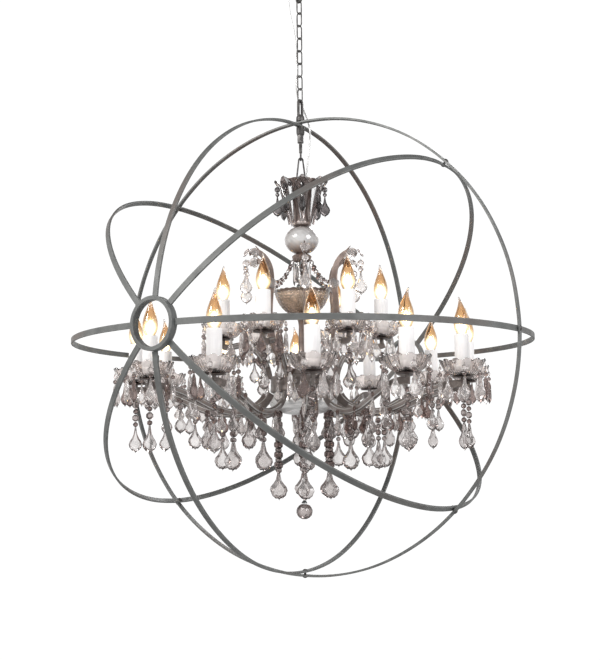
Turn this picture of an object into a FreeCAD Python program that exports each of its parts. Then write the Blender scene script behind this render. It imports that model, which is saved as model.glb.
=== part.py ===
import FreeCAD, Part
import math
import os

# Orb chandelier: a flat-bar orb of five rings hung from a ceiling plate by a
# link chain, with an eighteen-light crystal chandelier hung inside the orb.
# Millimetres. Origin: the ceiling plane on the hanging axis. +Z up.
# The two hub rings of the orb lie on the -Y and +Y sides.

V = FreeCAD.Vector
os.makedirs("parts", exist_ok=True)

# ---------------------------------------------------------------- dimensions
ZC = -935.0            # orb centre below the ceiling
VIEW_AZ = 32.9         # azimuth (from -Y towards +X) that the hanging links face
CHAIN_AZ = -12.1       # direction, from +X, of the chain's first hinge axis
DELTA = 35.7           # azimuth of the first lower candle arm

BAR_W = 13.0           # orb bar width
BAR_T = 5.0            # orb bar thickness
R_EQUATOR = 550.5      # mean radii of the orb's bars
R_MERIDIAN = 546.0
R_DIAGONAL = 547.5
R_CROSS = 556.0
HUB_R = 55.5           # hub ring outer radius
HUB_FACE = 8.5         # hub ring radial width
HUB_DEEP = 18.0        # hub ring depth
RIVET_R = 2.9

PLATE = (110.0, 80.0, 4.0)      # ceiling plate
PLATE_HOLES = (80.0, 50.0)     # hole spacing
PLATE_HOLE_R = 3.25
CANOPY_R = 75.0
CANOPY_H = 42.0
CANOPY_T = 1.2

LOOP_WIRE_R = 3.0
LOOP_Z = -65.4                  # centre of the loop's lowest wire
LINK_WIRE_R = 1.6
LINK_W = 18.5
LINK_L = 39.6
LINK_PITCH = 33.0
LINKS = 8
EYE_WIRE_R = 3.5
PLAY = 0.3                      # clearance where two hanging pieces hook together
STUD_R = 5.0
LOWER_EYE_R = 2.4
HANG_WIRE_R = 2.1
LOOP2_WIRE_R = 2.5

TUBE_R = 7.0
TUBE_R_IN = 5.0
BALL_R = 42.0
BALL_HALF = 35.5
BOWL_R = 66.0

LOWER_R, LOWER_T = 405.0, 0.0    # lower tier: candle circle radius, sleeve top height
UPPER_R, UPPER_T = 194.0, 108.0  # upper tier
LOWER_N, UPPER_N = 12, 6
SLEEVE_R, SLEEVE_R_IN, SLEEVE_L = 17.0, 15.6, 85.0
BOBECHE_R = 54.0
STRAP_W, STRAP_T = 17.0, 4.0
GLASS_W, GLASS_T = 11.0, 3.6
PENDANTS_PER_RIM = 8
CORD_D = 4.6


# ------------------------------------------------------------------- helpers
def ax(az, r=1.0, z=0.0):
    a = math.radians(az)
    return V(r * math.sin(a), -r * math.cos(a), z)


def spun(shape, az):
    """A shape made with +X outwards, turned so that +X points along azimuth az."""
    s = shape.copy()
    s.rotate(V(0, 0, 0), V(0, 0, 1), az - 90.0)
    return s


def ring_of(shape, n, first):
    return [spun(shape, first + 360.0 * k / n) for k in range(n)]


def at(shape, x, y, z):
    s = shape.copy()
    s.translate(V(x, y, z))
    return s


def turned(points):
    """A solid of revolution about Z from a closed profile of (r, z) points."""
    p = [V(r, 0, z) for r, z in points]
    face = Part.Face(Part.makePolygon(p + [p[0]]))
    return face.revolve(V(0, 0, 0), V(0, 0, 1), 360)


def smooth_shell(outer, inner):
    """A thin shell of revolution: smooth curves through the outer and the inner
    (r, z) points, closed by straight edges between their ends."""
    a, b = Part.BSplineCurve(), Part.BSplineCurve()
    a.interpolate([V(r, 0, z) for r, z in outer])
    b.interpolate([V(r, 0, z) for r, z in inner])
    e = [
        a.toShape(),
        Part.LineSegment(V(outer[-1][0], 0, outer[-1][1]), V(inner[-1][0], 0, inner[-1][1])).toShape(),
        b.toShape(),
        Part.LineSegment(V(inner[0][0], 0, inner[0][1]), V(outer[0][0], 0, outer[0][1])).toShape(),
    ]
    face = Part.Face(Part.Wire(Part.__sortEdges__(e)))
    return face.revolve(V(0, 0, 0), V(0, 0, 1), 360)


def cyl(r, z0, z1, x=0.0, y=0.0):
    return Part.makeCylinder(r, z1 - z0, V(x, y, z0))


def tube(r, r_in, z0, z1, x=0.0, y=0.0):
    return cyl(r, z0, z1, x, y).cut(cyl(r_in, z0 - 1, z1 + 1, x, y))


def hexagon(across, z0, z1, bore=0.0):
    r = across / math.sqrt(3)
    p = [V(r * math.cos(math.radians(60 * k)), r * math.sin(math.radians(60 * k)), z0) for k in range(7)]
    s = Part.Face(Part.makePolygon(p)).extrude(V(0, 0, z1 - z0))
    return s.cut(cyl(bore, z0 - 1, z1 + 1)) if bore else s


def cut_stone(levels, n=6, flat=1.0, phase=0.0):
    """A faceted crystal: polygons of n sides at (z, r) levels, all of one shape,
    joined by flat facets. flat squeezes its thickness (Y)."""
    rings = []
    for z, r in levels:
        rings.append([
            V(r * math.cos(2 * math.pi * (k + phase) / n), flat * r * math.sin(2 * math.pi * (k + phase) / n), z)
            for k in range(n)
        ])
    faces = [Part.Face(Part.makePolygon(rings[0] + [rings[0][0]])), Part.Face(Part.makePolygon(rings[-1] + [rings[-1][0]]))]
    for low, high in zip(rings, rings[1:]):
        for k in range(n):
            j = (k + 1) % n
            faces.append(Part.Face(Part.makePolygon([low[k], low[j], high[j], high[k], low[k]])))
    solid = Part.makeSolid(Part.makeShell(faces))
    if solid.Volume < 0:
        solid.reverse()
    return solid


def bead(r, length, n=4, flat=1.0):
    return cut_stone([(-length, r * 0.3), (-length * 0.5, r), (0, r * 0.3)], n, flat, 0.5)


def drop(width, length, thick, n=6):
    """A pendeloque hanging down from z = 0."""
    r = width / 2
    return cut_stone([(-length, 1.0), (-length * 0.66, r), (-length * 0.3, r * 0.5), (0, 1.3)], n, thick / width, 0.0)


def along(shape, start, end):
    """A shape that hangs down from the origin, moved so that it starts at start
    and points at end."""
    d = (end - start)
    s = shape.copy()
    s.Placement = FreeCAD.Placement(start, FreeCAD.Rotation(V(0, 0, -1), d))
    return s


def curve_points(points, count):
    c = Part.BSplineCurve()
    c.interpolate([V(r, 0, z) for r, z in points])
    a, b = c.FirstParameter, c.LastParameter
    out = []
    for i in range(count + 1):
        t = a + (b - a) * i / count
        p, d = c.value(t), c.tangent(t)[0]
        out.append((p, V(d.z, 0, -d.x)))
    return out


def strap(points, width, thick, first=0.0, last=1.0, y=0.0, count=36):
    """A flat strap on edge: its line runs through points in the (r, z) plane, its
    width lies in that plane and its thickness is along Y."""
    line = curve_points(points, count)
    line = line[int(round(first * count)):int(round(last * count)) + 1]
    left, right = Part.BSplineCurve(), Part.BSplineCurve()
    lp = [p + n * (width / 2) for p, n in line]
    rp = [p - n * (width / 2) for p, n in line]
    left.interpolate(lp)
    right.interpolate(rp)
    e = [left.toShape(), Part.LineSegment(lp[-1], rp[-1]).toShape(), right.toShape(), Part.LineSegment(rp[0], lp[0]).toShape()]
    face = Part.Face(Part.Wire(Part.__sortEdges__(e)))
    s = face.extrude(V(0, thick, 0))
    s.translate(V(0, y - thick / 2, 0))
    return s


def link(width_low, width_high, length, wire):
    """A closed wire link in the XZ plane, centred on the origin: round ends
    joined by straight sides. Sizes are to the outside of the wire."""
    rl, rh = width_low / 2 - wire, width_high / 2 - wire
    zl, zh = -(length / 2 - wire - rl), length / 2 - wire - rh
    if abs(rl - rh) < 1e-6:
        tilt = 0.0
    else:
        tilt = math.asin((rl - rh) / (zh - zl))
    c, s = math.cos(tilt), math.sin(tilt)
    a, b = V(rl * c, 0, zl + rl * s), V(rh * c, 0, zh + rh * s)
    am, bm = V(-a.x, 0, a.z), V(-b.x, 0, b.z)
    d = (b - a)
    d.normalize()
    mid = (a + b) * 0.5
    path = Part.Wire([
        Part.LineSegment(mid, b).toShape(),
        Part.Arc(b, V(0, 0, zh + rh), bm).toShape(),
        Part.LineSegment(bm, am).toShape(),
        Part.Arc(am, V(0, 0, zl - rl), a).toShape(),
        Part.LineSegment(a, mid).toShape(),
    ])
    profile = Part.Wire([Part.Circle(mid, d, wire).toShape()])
    return path.makePipeShell([profile], True, False)


def facing(shape, direction):
    """A shape made with its flat side across Y and its width along X, turned so
    that its width runs along direction (degrees from +X)."""
    s = shape.copy()
    s.rotate(V(0, 0, 0), V(0, 0, 1), direction)
    return s


def cord_tube(points, diameter, name):
    """Straight runs joined by tangent arcs: each arc as large as its runs allow."""
    pts = [V(*p) for p in points]
    edges, here, length, radii = [], pts[0], 0.0, []
    for a, b, c in zip(pts, pts[1:], pts[2:]):
        u, w = (b - a), (c - b)
        lu, lw = u.Length, w.Length
        u.normalize()
        w.normalize()
        turn = math.acos(max(-1.0, min(1.0, u.dot(w))))
        radius = 0.45 * min(lu, lw) / math.tan(turn / 2)
        cutback = radius * math.tan(turn / 2)
        p, q = b - u * cutback, b + w * cutback
        inward = (w - u)
        inward.normalize()
        centre = b + inward * (radius / math.cos(turn / 2))
        middle = centre - inward * radius
        edges.append(Part.LineSegment(here, p).toShape())
        edges.append(Part.Arc(p, middle, q).toShape())
        length += (p - here).Length + radius * turn
        here = q
        radii.append(radius)
    edges.append(Part.LineSegment(here, pts[-1]).toShape())
    length += (pts[-1] - here).Length
    d = pts[1] - pts[0]
    d.normalize()
    profile = Part.Wire([Part.Circle(pts[0], d, diameter / 2).toShape()])
    solid = Part.Wire(edges).makePipeShell([profile], True, False)
    section = math.pi * diameter ** 2 / 4
    print(name, "radii", [round(r, 1) for r in radii], "length %.1f" % length, "volume share %.4f" % (solid.Volume / (section * length)))
    return solid


def save(name, shapes):
    shapes = shapes if isinstance(shapes, list) else [shapes]
    solids = [s for shape in shapes for s in shape.Solids]
    for s in solids:
        if s.Volume < 0:
            s.reverse()
        if not s.isValid():
            print("NOT VALID", name)
    out = Part.makeCompound(solids) if len(solids) > 1 else solids[0]
    out.exportStep("parts/%s.step" % name)
    print("%-22s %3d solids %10.1f mm3" % (name, len(solids), sum(s.Volume for s in solids)))


# ------------------------------------------------------------------- ceiling
# A steel plate screwed to the ceiling, with a threaded loop through its middle.
w, d, t = PLATE
plate = Part.makeBox(w, d, t, V(-w / 2, -d / 2, -t))
for sx in (-1, 1):
    for sy in (-1, 1):
        plate = plate.cut(cyl(PLATE_HOLE_R, -t - 1, 1, sx * PLATE_HOLES[0] / 2, sy * PLATE_HOLES[1] / 2))
plate = plate.cut(cyl(8.05, -t - 1, 1))
save("ceiling_plate", plate)
# The loop: a ring on a threaded stem that the plate's hole and two nuts hold.
loop_ring = link(22.0, 22.0, 22.6, LOOP_WIRE_R)
loop_ring = at(facing(loop_ring, CHAIN_AZ), 0, 0, LOOP_Z - LOOP_WIRE_R + 11.3)
stem_low = LOOP_Z + 17.0
loop = loop_ring.fuse(cyl(8.0, stem_low, -0.5)).removeSplitter()
save("ceiling_loop", loop)
save("loop_nuts", [hexagon(24.0, -12.0, -t - 0.02, 8.05)])
# The canopy hides the plate and the wiring; a screw collar on the stem holds it.
outer = [(CANOPY_R, -1.0), (CANOPY_R - 1, -11.0), (CANOPY_R - 8, -22.0), (CANOPY_R - 25, -32.0), (34.0, -38.0), (16.0, -CANOPY_H + 0.6)]
inner = [(CANOPY_R - CANOPY_T, -1.0), (CANOPY_R - 1 - CANOPY_T, -10.8), (CANOPY_R - 9, -21.2), (CANOPY_R - 25.5, -30.8), (34.0, -36.8), (16.0, -CANOPY_H + 1.8)]
canopy = smooth_shell(outer, inner)
R_RIGHT = V(math.cos(math.radians(VIEW_AZ)), math.sin(math.radians(VIEW_AZ)), 0)
R_BACK = V(math.sin(math.radians(VIEW_AZ)), -math.cos(math.radians(VIEW_AZ)), 0)


def uv(u, b, h):
    """A point u to the right and b towards the front of the hanging axis, at
    height h above the orb's centre."""
    p = R_RIGHT * u + R_BACK * b
    return (p.x, p.y, ZC + h)


gx, gy, _ = uv(-27, 0, 0)
canopy = canopy.cut(cyl(4.0, -60, -20, gx, gy))
save("canopy_cup", canopy)
save("canopy_collar", turned([(8.1, -CANOPY_H - 3.4), (15.0, -CANOPY_H - 3.4), (15.0, -CANOPY_H - 0.6), (22.0, -CANOPY_H - 0.4), (15.6, -CANOPY_H + 0.2), (15.6, -CANOPY_H + 5), (8.1, -CANOPY_H + 5)]))
save("cord_bushing", tube(3.9, CORD_D / 2 + 0.03, -43.0, -34.0, gx, gy).fuse(tube(6.0, CORD_D / 2 + 0.03, -45.5, -43.0, gx, gy)).removeSplitter())
save("terminal_block", Part.makeBox(30, 14, 12, V(-15, 22, -t - 13)))

# --------------------------------------------------------------------- chain
c1 = LOOP_Z + LOOP_WIRE_R + PLAY + LINK_WIRE_R - (LINK_L / 2 - LINK_WIRE_R)
one = link(LINK_W, LINK_W, LINK_L, LINK_WIRE_R)
links = []
for k in range(LINKS):
    links.append(at(facing(one, CHAIN_AZ + (90 if k % 2 == 0 else 0)), 0, 0, c1 - k * LINK_PITCH))
save("chain_links", links)
c8 = c1 - (LINKS - 1) * LINK_PITCH
EYE_Z = c8 - (LINK_L / 2 - LINK_WIRE_R) + LINK_WIRE_R + PLAY + EYE_WIRE_R
print("chain hinge z", LOOP_Z, "orb hinge z", round(EYE_Z, 3), "height above centre", round(EYE_Z - ZC, 2))

# --------------------------------------------------------- orb: hanging stack
# Forged eye with a stud that passes through the crossed bars at the top pole.
eye_len = 50.0
eye = link(20.0, 20.0, eye_len, EYE_WIRE_R)
eye = at(facing(eye, CHAIN_AZ + 90), 0, 0, EYE_Z + EYE_WIRE_R - eye_len / 2)
pole_out = ZC + R_CROSS + BAR_T / 2
pole_in = ZC + R_MERIDIAN - BAR_T / 2
boss_top = EYE_Z + EYE_WIRE_R - eye_len + 9.0
boss = turned([(0, pole_out + 0.02), (10.5, pole_out + 0.02), (10.5, boss_top - 5), (6.5, boss_top), (0, boss_top)])
stud = cyl(STUD_R, ZC + 513.2, pole_out + 1)
save("top_eye", eye.fuse([boss, stud]).removeSplitter())
save("pole_block", turned([(STUD_R + 0.05, ZC + 522), (8.0, ZC + 522), (10.2, ZC + 528), (10.2, pole_in - 0.15), (STUD_R + 0.05, pole_in - 0.15)]))
save("coupling_nut", hexagon(15.0, ZC + 503.5, ZC + 521.95, STUD_R + 0.05))
low_eye = link(15.0, 15.0, 24.0, LOWER_EYE_R)
LOW_EYE_BOTTOM = ZC + 457.0
low_eye = at(facing(low_eye, VIEW_AZ - 90), 0, 0, LOW_EYE_BOTTOM + 12.0)
low_rod = cyl(4.2, LOW_EYE_BOTTOM + 20.5, ZC + 503.6).fuse(cyl(STUD_R, ZC + 503.4, ZC + 512.8))
save("lower_eye", low_eye.fuse(low_rod).removeSplitter())
LOW_EYE_Z = LOW_EYE_BOTTOM + LOWER_EYE_R
print("chandelier hinge z", LOW_EYE_Z, "height", LOW_EYE_Z - ZC)

# ---------------------------------------------------------------- orb: rings
def bar_ring(radius, normal):
    """A flat-bar ring: its axis along normal, its thickness radial."""
    r1, r0 = radius + BAR_T / 2, radius - BAR_T / 2
    s = Part.makeCylinder(r1, BAR_W, V(0, 0, -BAR_W / 2)).cut(Part.makeCylinder(r0, BAR_W + 2, V(0, 0, -BAR_W / 2 - 1)))
    s.Placement = FreeCAD.Placement(V(0, 0, ZC), FreeCAD.Rotation(V(0, 0, 1), normal))
    return s


def peg(direction, r, low, high):
    """A round peg from the orb's centre along direction, between two radii."""
    return Part.makeCylinder(r, high - low, V(0, 0, ZC) + direction * low, direction)


hub_core = Part.makeCylinder(HUB_R + 0.1, 1300, V(0, -650, ZC), V(0, 1, 0))
D45 = math.sqrt(0.5)
crossings = [
    (V(1, 0, 0), R_EQUATOR), (V(-1, 0, 0), R_EQUATOR),
    (V(D45, 0, D45), R_DIAGONAL), (V(-D45, 0, -D45), R_DIAGONAL),
    (V(-D45, 0, D45), R_DIAGONAL), (V(D45, 0, -D45), R_DIAGONAL),
    (V(0, 0, -1), R_MERIDIAN),
]
holes = [peg(u, RIVET_R + 0.05, 500, 600) for u, _ in crossings]
pole_hole = cyl(STUD_R + 0.05, ZC + 500, ZC + 600)


def arcs(radius, normal):
    s = bar_ring(radius, normal).cut(hub_core)
    return s.cut(Part.makeCompound(holes + [pole_hole]))


save("equator_arcs", arcs(R_EQUATOR, V(0, 0, 1)))
save("meridian_arcs", arcs(R_MERIDIAN, V(1, 0, 0)))
save("diagonal_arcs_left", arcs(R_DIAGONAL, V(D45, 0, D45)))
save("diagonal_arcs_right", arcs(R_DIAGONAL, V(-D45, 0, D45)))
save("cross_ring", bar_ring(R_CROSS, V(0, 1, 0)).cut(Part.makeCompound(holes + [pole_hole])))
hub_mid = math.sqrt(R_DIAGONAL ** 2 - HUB_R ** 2) + 4.0
hub = Part.makeCylinder(HUB_R, HUB_DEEP, V(0, 0, -HUB_DEEP / 2)).cut(Part.makeCylinder(HUB_R - HUB_FACE, HUB_DEEP + 2, V(0, 0, -HUB_DEEP / 2 - 1)))
hubs = []
for sign in (-1, 1):
    h = hub.copy()
    h.Placement = FreeCAD.Placement(V(0, sign * hub_mid, ZC), FreeCAD.Rotation(V(0, 0, 1), V(0, 1, 0)))
    hubs.append(h)
save("hub_rings", hubs)


def rivet(radius):
    lo, hi = radius - BAR_T / 2 - 0.1, R_CROSS + BAR_T / 2
    return turned([
        (0, lo - 3.2), (2.6, lo - 3.0), (4.8, lo - 1.9), (6.2, lo), (RIVET_R, lo),
        (RIVET_R, hi), (6.2, hi), (4.8, hi + 1.9), (2.6, hi + 3.0), (0, hi + 3.2),
    ])


rivets = []
for u, radius in crossings:
    r = rivet(radius)
    r.Placement = FreeCAD.Placement(V(0, 0, ZC), FreeCAD.Rotation(V(0, 0, 1), u))
    rivets.append(r)
save("ring_rivets", rivets)

# ---------------------------------------------------- chandelier: the column
hang_top = LOW_EYE_Z + LOWER_EYE_R + PLAY + HANG_WIRE_R      # centre of its top wire
hang_low = ZC + 407.5                                        # centre of its bottom wire
hang_len = hang_top - hang_low + 2 * HANG_WIRE_R
hang = link(24.0, 14.2, hang_len, HANG_WIRE_R)
save("hanging_link", at(facing(hang, VIEW_AZ), 0, 0, (hang_top + hang_low) / 2))
loop_top = hang_low + HANG_WIRE_R + LOOP2_WIRE_R + 0.1
loop2 = link(18.0, 18.0, 26.0, LOOP2_WIRE_R)
loop2 = at(facing(loop2, VIEW_AZ - 90), 0, 0, loop_top + LOOP2_WIRE_R - 13.0)
loop2_low = loop_top + LOOP2_WIRE_R - 26.0
TUBE_TOP = loop2_low - 2.0
save("column_loop", loop2.fuse([cyl(6.0, TUBE_TOP, loop2_low + 3.5), cyl(TUBE_R_IN - 0.05, TUBE_TOP - 14, TUBE_TOP + 0.1)]).removeSplitter())
print("tube top height", TUBE_TOP - ZC)
TUBE_BOTTOM = ZC - 181.0
save("centre_tube", tube(TUBE_R, TUBE_R_IN, TUBE_BOTTOM, TUBE_TOP - 0.02))
save("wiring_loom", cyl(3.4, ZC - 170.0, TUBE_TOP - 15.0))

G = TUBE_R + 0.05      # bore of what slides on the tube


def zrel(points):
    return [(r, ZC + z) for r, z in points]


crown_out = zrel([(13.0, 292.0), (21.5, 294.0), (19.5, 312.0), (22.0, 335.0), (29.0, 360.0), (38.0, 384.0), (47.5, 404.0)])
crown_in = zrel([(13.0, 293.6), (19.8, 295.6), (17.9, 312.4), (20.4, 335.4), (27.4, 360.8), (36.5, 384.8), (46.2, 405.0)])
crown = smooth_shell(crown_out, crown_in).fuse(turned(zrel([(G, 292.0), (14.0, 292.0), (14.0, 293.6), (G, 293.6)]))).removeSplitter()
save("crown_cup", crown)
save("crown_terminal", turned(zrel([(G, 318.0), (16.0, 318.0), (16.0, 336.0), (G, 336.0)])))
# Eight glass plates lean outwards round the crown.
LEAN = 14.0
petals = []
for k in range(8):
    p = [V(0, -4, 0), V(0, 4, 0), V(0, 8, 30), V(0, 14, 70), V(0, 18, 96), V(0, 12, 112), V(0, 0, 118), V(0, -12, 112), V(0, -18, 96), V(0, -14, 70), V(0, -8, 30)]
    s = Part.Face(Part.makePolygon(p + [p[0]])).extrude(V(3.0, 0, 0))
    s.rotate(V(0, 0, 0), V(0, 1, 0), LEAN)
    s.translate(V(25.5, 0, ZC + 297.0))
    petals.append(spun(s, DELTA + 45.0 * k))
save("crown_petals", petals)
PETAL_TOP = (25.5 + 96 * math.sin(math.radians(LEAN)), 297 + 96 * math.cos(math.radians(LEAN)))
# Glass ball between two metal cups.
ball_pts = [(12.0, 34.3), (24.0, 29.4), (34.5, 20.3), (40.5, 9.5), (42.0, 0.0), (40.5, -9.5), (34.5, -20.3), (24.0, -29.4), (12.0, -34.3)]
ball_in = [(12.0, 31.2), (22.8, 26.6), (32.2, 18.4), (37.6, 8.7), (38.9, 0.0), (37.6, -8.7), (32.2, -18.4), (22.8, -26.6), (12.0, -31.2)]
BALL_Z = 256.0
ball = smooth_shell([(r, ZC + BALL_Z + z) for r, z in ball_pts], [(r, ZC + BALL_Z + z) for r, z in ball_in])
save("glass_ball", ball)
cap_top = turned(zrel([(G, 291.3), (19.6, 291.3), (14.5, 290.6), (G, 290.6)]))
cap_low = turned(zrel([(G, 221.4), (13.0, 221.4), (23.0, 216.0), (20.0, 206.0), (14.0, 201.0), (G, 201.0)]))
save("ball_caps", [cap_top, cap_low])
save("stem_cover", turned(zrel([(G, 200.9), (10.0, 200.9), (9.0, 190.0), (8.6, 160.0), (11.0, 146.0), (14.0, 140.0), (14.0, 136.0), (G, 136.0)])))
bowl_out = zrel([(12.0, 68.0), (25.0, 70.5), (43.0, 81.0), (57.0, 98.0), (64.5, 115.0), (68.0, 130.0)])
bowl_in = zrel([(12.0, 70.4), (24.5, 73.0), (41.5, 83.0), (54.9, 99.4), (62.2, 115.8), (65.4, 130.0)])
bowl = smooth_shell(bowl_out, bowl_in).fuse(turned(zrel([(G, 68.0), (12.5, 68.0), (12.5, 70.4), (G, 70.4)]))).removeSplitter()
save("top_bowl", bowl)
save("bowl_spacer", turned(zrel([(G, 67.9), (16.0, 67.9), (12.0, 58.0), (10.0, 20.0), (12.0, -20.0), (18.0, -50.0), (18.0, -60.9), (G, -60.9)])))
save("crook_hub", turned(zrel([(G, -61.0), (26.0, -61.0), (26.0, -79.0), (G, -79.0)])))
save("arm_hub", turned(zrel([(G, -80.0), (78.0, -80.0), (80.0, -82.0), (80.0, -118.0), (78.0, -120.0), (G, -120.0)])))
dish_out = zrel([(74.0, -121.0), (80.0, -132.0), (82.0, -146.0), (76.0, -157.0), (56.0, -167.5), (32.0, -172.5), (12.0, -173.5)])
dish_in = zrel([(72.5, -121.0), (78.4, -132.2), (80.3, -145.6), (74.8, -155.6), (55.4, -165.9), (31.8, -170.9), (12.0, -171.9)])
dish = smooth_shell(dish_out, dish_in).fuse(turned(zrel([(G, -173.5), (12.5, -173.5), (12.5, -171.9), (G, -171.9)]))).removeSplitter()
save("hub_dish", dish)
# The nut under the dish carries the hook of the middle string.
DROP_Z = -196.0
nut = turned(zrel([(0, -190.0), (5.0, -190.0), (9.5, -186.5), (9.5, -173.6), (G, -173.6), (G, -181.2), (0, -181.2)]))
hook = link(10.0, 10.0, 16.0, 1.2)
hook = at(facing(hook, VIEW_AZ - 90), 0, 0, ZC + DROP_Z + 8.0 - 1.2)
save("dish_nut", nut.fuse(hook).removeSplitter())

# ------------------------------------------------------- crooks and the arms
CROOK = [(27.5, -70.0), (42.0, -62.0), (57.0, -42.0), (78.0, -8.0), (90.0, 32.0), (93.0, 75.0), (90.0, 120.0), (88.0, 155.0), (92.0, 182.0), (105.0, 203.0), (125.0, 215.0), (148.0, 208.0)]
UPPER_ARM = [(82.5, -104.0), (82.0, -84.0), (91.0, -50.0), (112.0, -20.0), (140.0, -4.0), (166.0, -6.0), (182.0, -9.0), (201.0, -4.0)]
LOWER_ARM = [(82.0, -94.0), (88.0, -118.0), (106.0, -144.0), (138.0, -162.0), (184.0, -170.0), (232.0, -163.0), (282.0, -142.0), (330.0, -122.0), (372.0, -112.0), (412.0, -112.0)]


def rel(points):
    return [(r, ZC + z) for r, z in points]


crook = strap(rel(CROOK), 15.0, STRAP_T).cut(cyl(26.1, ZC - 100, ZC - 40))
save("crook_straps", ring_of(crook, 6, DELTA))
UP_NOZZLE, LOW_NOZZLE = UPPER_T - 99.0, LOWER_T - 99.0
upper = strap(rel(UPPER_ARM), 15.0, STRAP_T, 0.1, 1.0).fuse(cyl(5.0, ZC + UP_NOZZLE - 10, ZC + UPPER_T - 72, UPPER_R)).removeSplitter()
lower = strap(rel(LOWER_ARM), STRAP_W, STRAP_T, 0.08, 1.0).fuse(cyl(5.0, ZC + LOW_NOZZLE - 10, ZC + LOWER_T - 72, LOWER_R)).removeSplitter()
upper = upper.cut(cyl(81.2, ZC - 130, ZC - 60))
lower = lower.cut(cyl(81.2, ZC - 130, ZC - 60))
save("upper_arms", ring_of(upper, UPPER_N, DELTA + 30))
save("lower_arms", ring_of(lower, LOWER_N, DELTA))
glass = []
for shape, n, first in (
    (strap(rel(UPPER_ARM), 9.0, GLASS_T, 0.25, 0.83), UPPER_N, DELTA + 30),
    (strap(rel(LOWER_ARM), GLASS_W, GLASS_T, 0.19, 0.83), LOWER_N, DELTA),
):
    for side in (-1, 1):
        glass += ring_of(at(shape, 0, side * (STRAP_T + GLASS_T) / 2, 0), n, first)
save("arm_glass", glass)


# Rosettes: glass discs on both faces of each crook's bend.
rose = cut_stone([(-2.5, 9.0), (0.0, 12.0), (2.5, 7.0)], 10)
rosettes = []
for side in (-1, 1):
    s = rose.copy()
    s.rotate(V(0, 0, 0), V(1, 0, 0), 90 * -side)
    s.translate(V(87.0, side * (STRAP_T / 2 + 2.6), ZC + 142.0))
    rosettes += ring_of(s, 6, DELTA)
    rosettes += ring_of(at(s, 49.0, 0, 70.5), 6, DELTA)
tip = rose.copy()
tip.rotate(V(0, 0, 0), V(0, 1, 0), 60)
tip.translate(V(158.5, 0, ZC + 211.0))
rosettes += ring_of(tip, 6, DELTA)
save("rosettes", rosettes)

# -------------------------------------------------------------- candle cups
def bobeche():
    """A glass drip dish; heights are measured from the candle sleeve's top."""
    o = [(6.0, -95.0), (20.0, -95.0), (32.0, -91.0), (43.0, -80.0), (50.0, -68.0), (54.0, -62.0)]
    i = [(6.0, -85.6), (17.6, -85.6), (29.0, -84.6), (39.0, -76.0), (46.0, -65.0), (49.5, -59.0)]
    p = [V(r, 0, z) for r, z in o + [(53.0, -60.0)] + i[::-1]]
    return Part.Face(Part.makePolygon(p + [p[0]])).revolve(V(0, 0, 0), V(0, 0, 1), 360)


def bulb():
    o = [(11.0, 1.0), (13.2, 6.0), (16.6, 16.0), (17.4, 26.0), (15.8, 38.0), (11.8, 51.0), (7.4, 63.0), (4.0, 74.0), (1.9, 85.4)]
    i = [(10.2, 1.0), (12.4, 6.2), (15.8, 16.2), (16.6, 26.0), (15.0, 37.7), (11.0, 50.6), (6.6, 62.6), (3.1, 73.4), (0.0, 80.0)]
    a, b = Part.BSplineCurve(), Part.BSplineCurve()
    a.interpolate([V(r, 0, z) for r, z in o])
    b.interpolate([V(r, 0, z) for r, z in i])
    e = [
        a.toShape(), Part.LineSegment(V(1.9, 0, 85.4), V(0, 0, 86.0)).toShape(),
        Part.LineSegment(V(0, 0, 86.0), V(0, 0, 80.0)).toShape(), b.toShape(),
        Part.LineSegment(V(10.2, 0, 1.0), V(11.0, 0, 1.0)).toShape(),
    ]
    return Part.Face(Part.Wire(Part.__sortEdges__(e))).revolve(V(0, 0, 0), V(0, 0, 1), 360)


tiers = [(LOWER_R, LOWER_T, LOWER_N, DELTA), (UPPER_R, UPPER_T, UPPER_N, DELTA + 30)]
pieces = {
    "drip_discs": turned([(5.05, -98.0), (22.0, -98.0), (26.0, -96.6), (22.0, -95.1), (5.05, -95.1)]),
    "bobeches": bobeche(),
    "candle_sleeves": tube(SLEEVE_R, SLEEVE_R_IN, -85.5, 0.0),
    "lampholders": tube(13.0, 7.6, -70.0, -8.0).fuse(cyl(13.0, -71.9, -66.0)).removeSplitter(),
    "bulbs": bulb(),
    "bulb_caps": tube(7.2, 6.4, -24.0, 0.0).fuse([turned([(6.4, 0.0), (12.4, 0.0), (12.4, 0.9), (6.4, 0.9)]), cyl(7.2, -25.0, -23.9)]).removeSplitter(),
    "filaments": turned([(0, -20.0), (2.5, -20.0), (2.5, 8.0), (1.2, 14.0), (1.2, 34.0), (0, 34.0)]),
}
for name, shape in pieces.items():
    out = []
    for radius, top, n, first in tiers:
        out += ring_of(at(shape, radius, 0, ZC + top), n, first)
    save(name, out)

# ------------------------------------------------------------------ crystals
pins = []


def pin(x, y, z1, z0):
    pins.append(cyl(0.8, z0, z1, x, y))


def hung(where, z, parts):
    """Crystals one under another from z down; each is (kind, size..)."""
    out = []
    for kind, a, b, c in parts:
        s = bead(a, b, 4, c) if kind == "bead" else drop(a, b, c)
        out.append(at(s, where.x, where.y, z))
        z -= b + 0.02
    return out


def bent_pin(start, out, low):
    """A 1.6 mm wire out along X from start, bent down at out and ending at low."""
    bend, h = 1.5, 1.5 * math.sqrt(0.5)
    a, b = V(out - bend, 0, 0), V(out, 0, -bend)
    edges = [
        Part.LineSegment(V(start, 0, 0), a).toShape(),
        Part.Arc(a, V(out - bend + h, 0, h - bend), b).toShape(),
        Part.LineSegment(b, V(out, 0, low)).toShape(),
    ]
    profile = Part.Wire([Part.Circle(V(start, 0, 0), V(1, 0, 0), 0.8).toShape()])
    return Part.Wire(edges).makePipeShell([profile], True, False)


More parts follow.
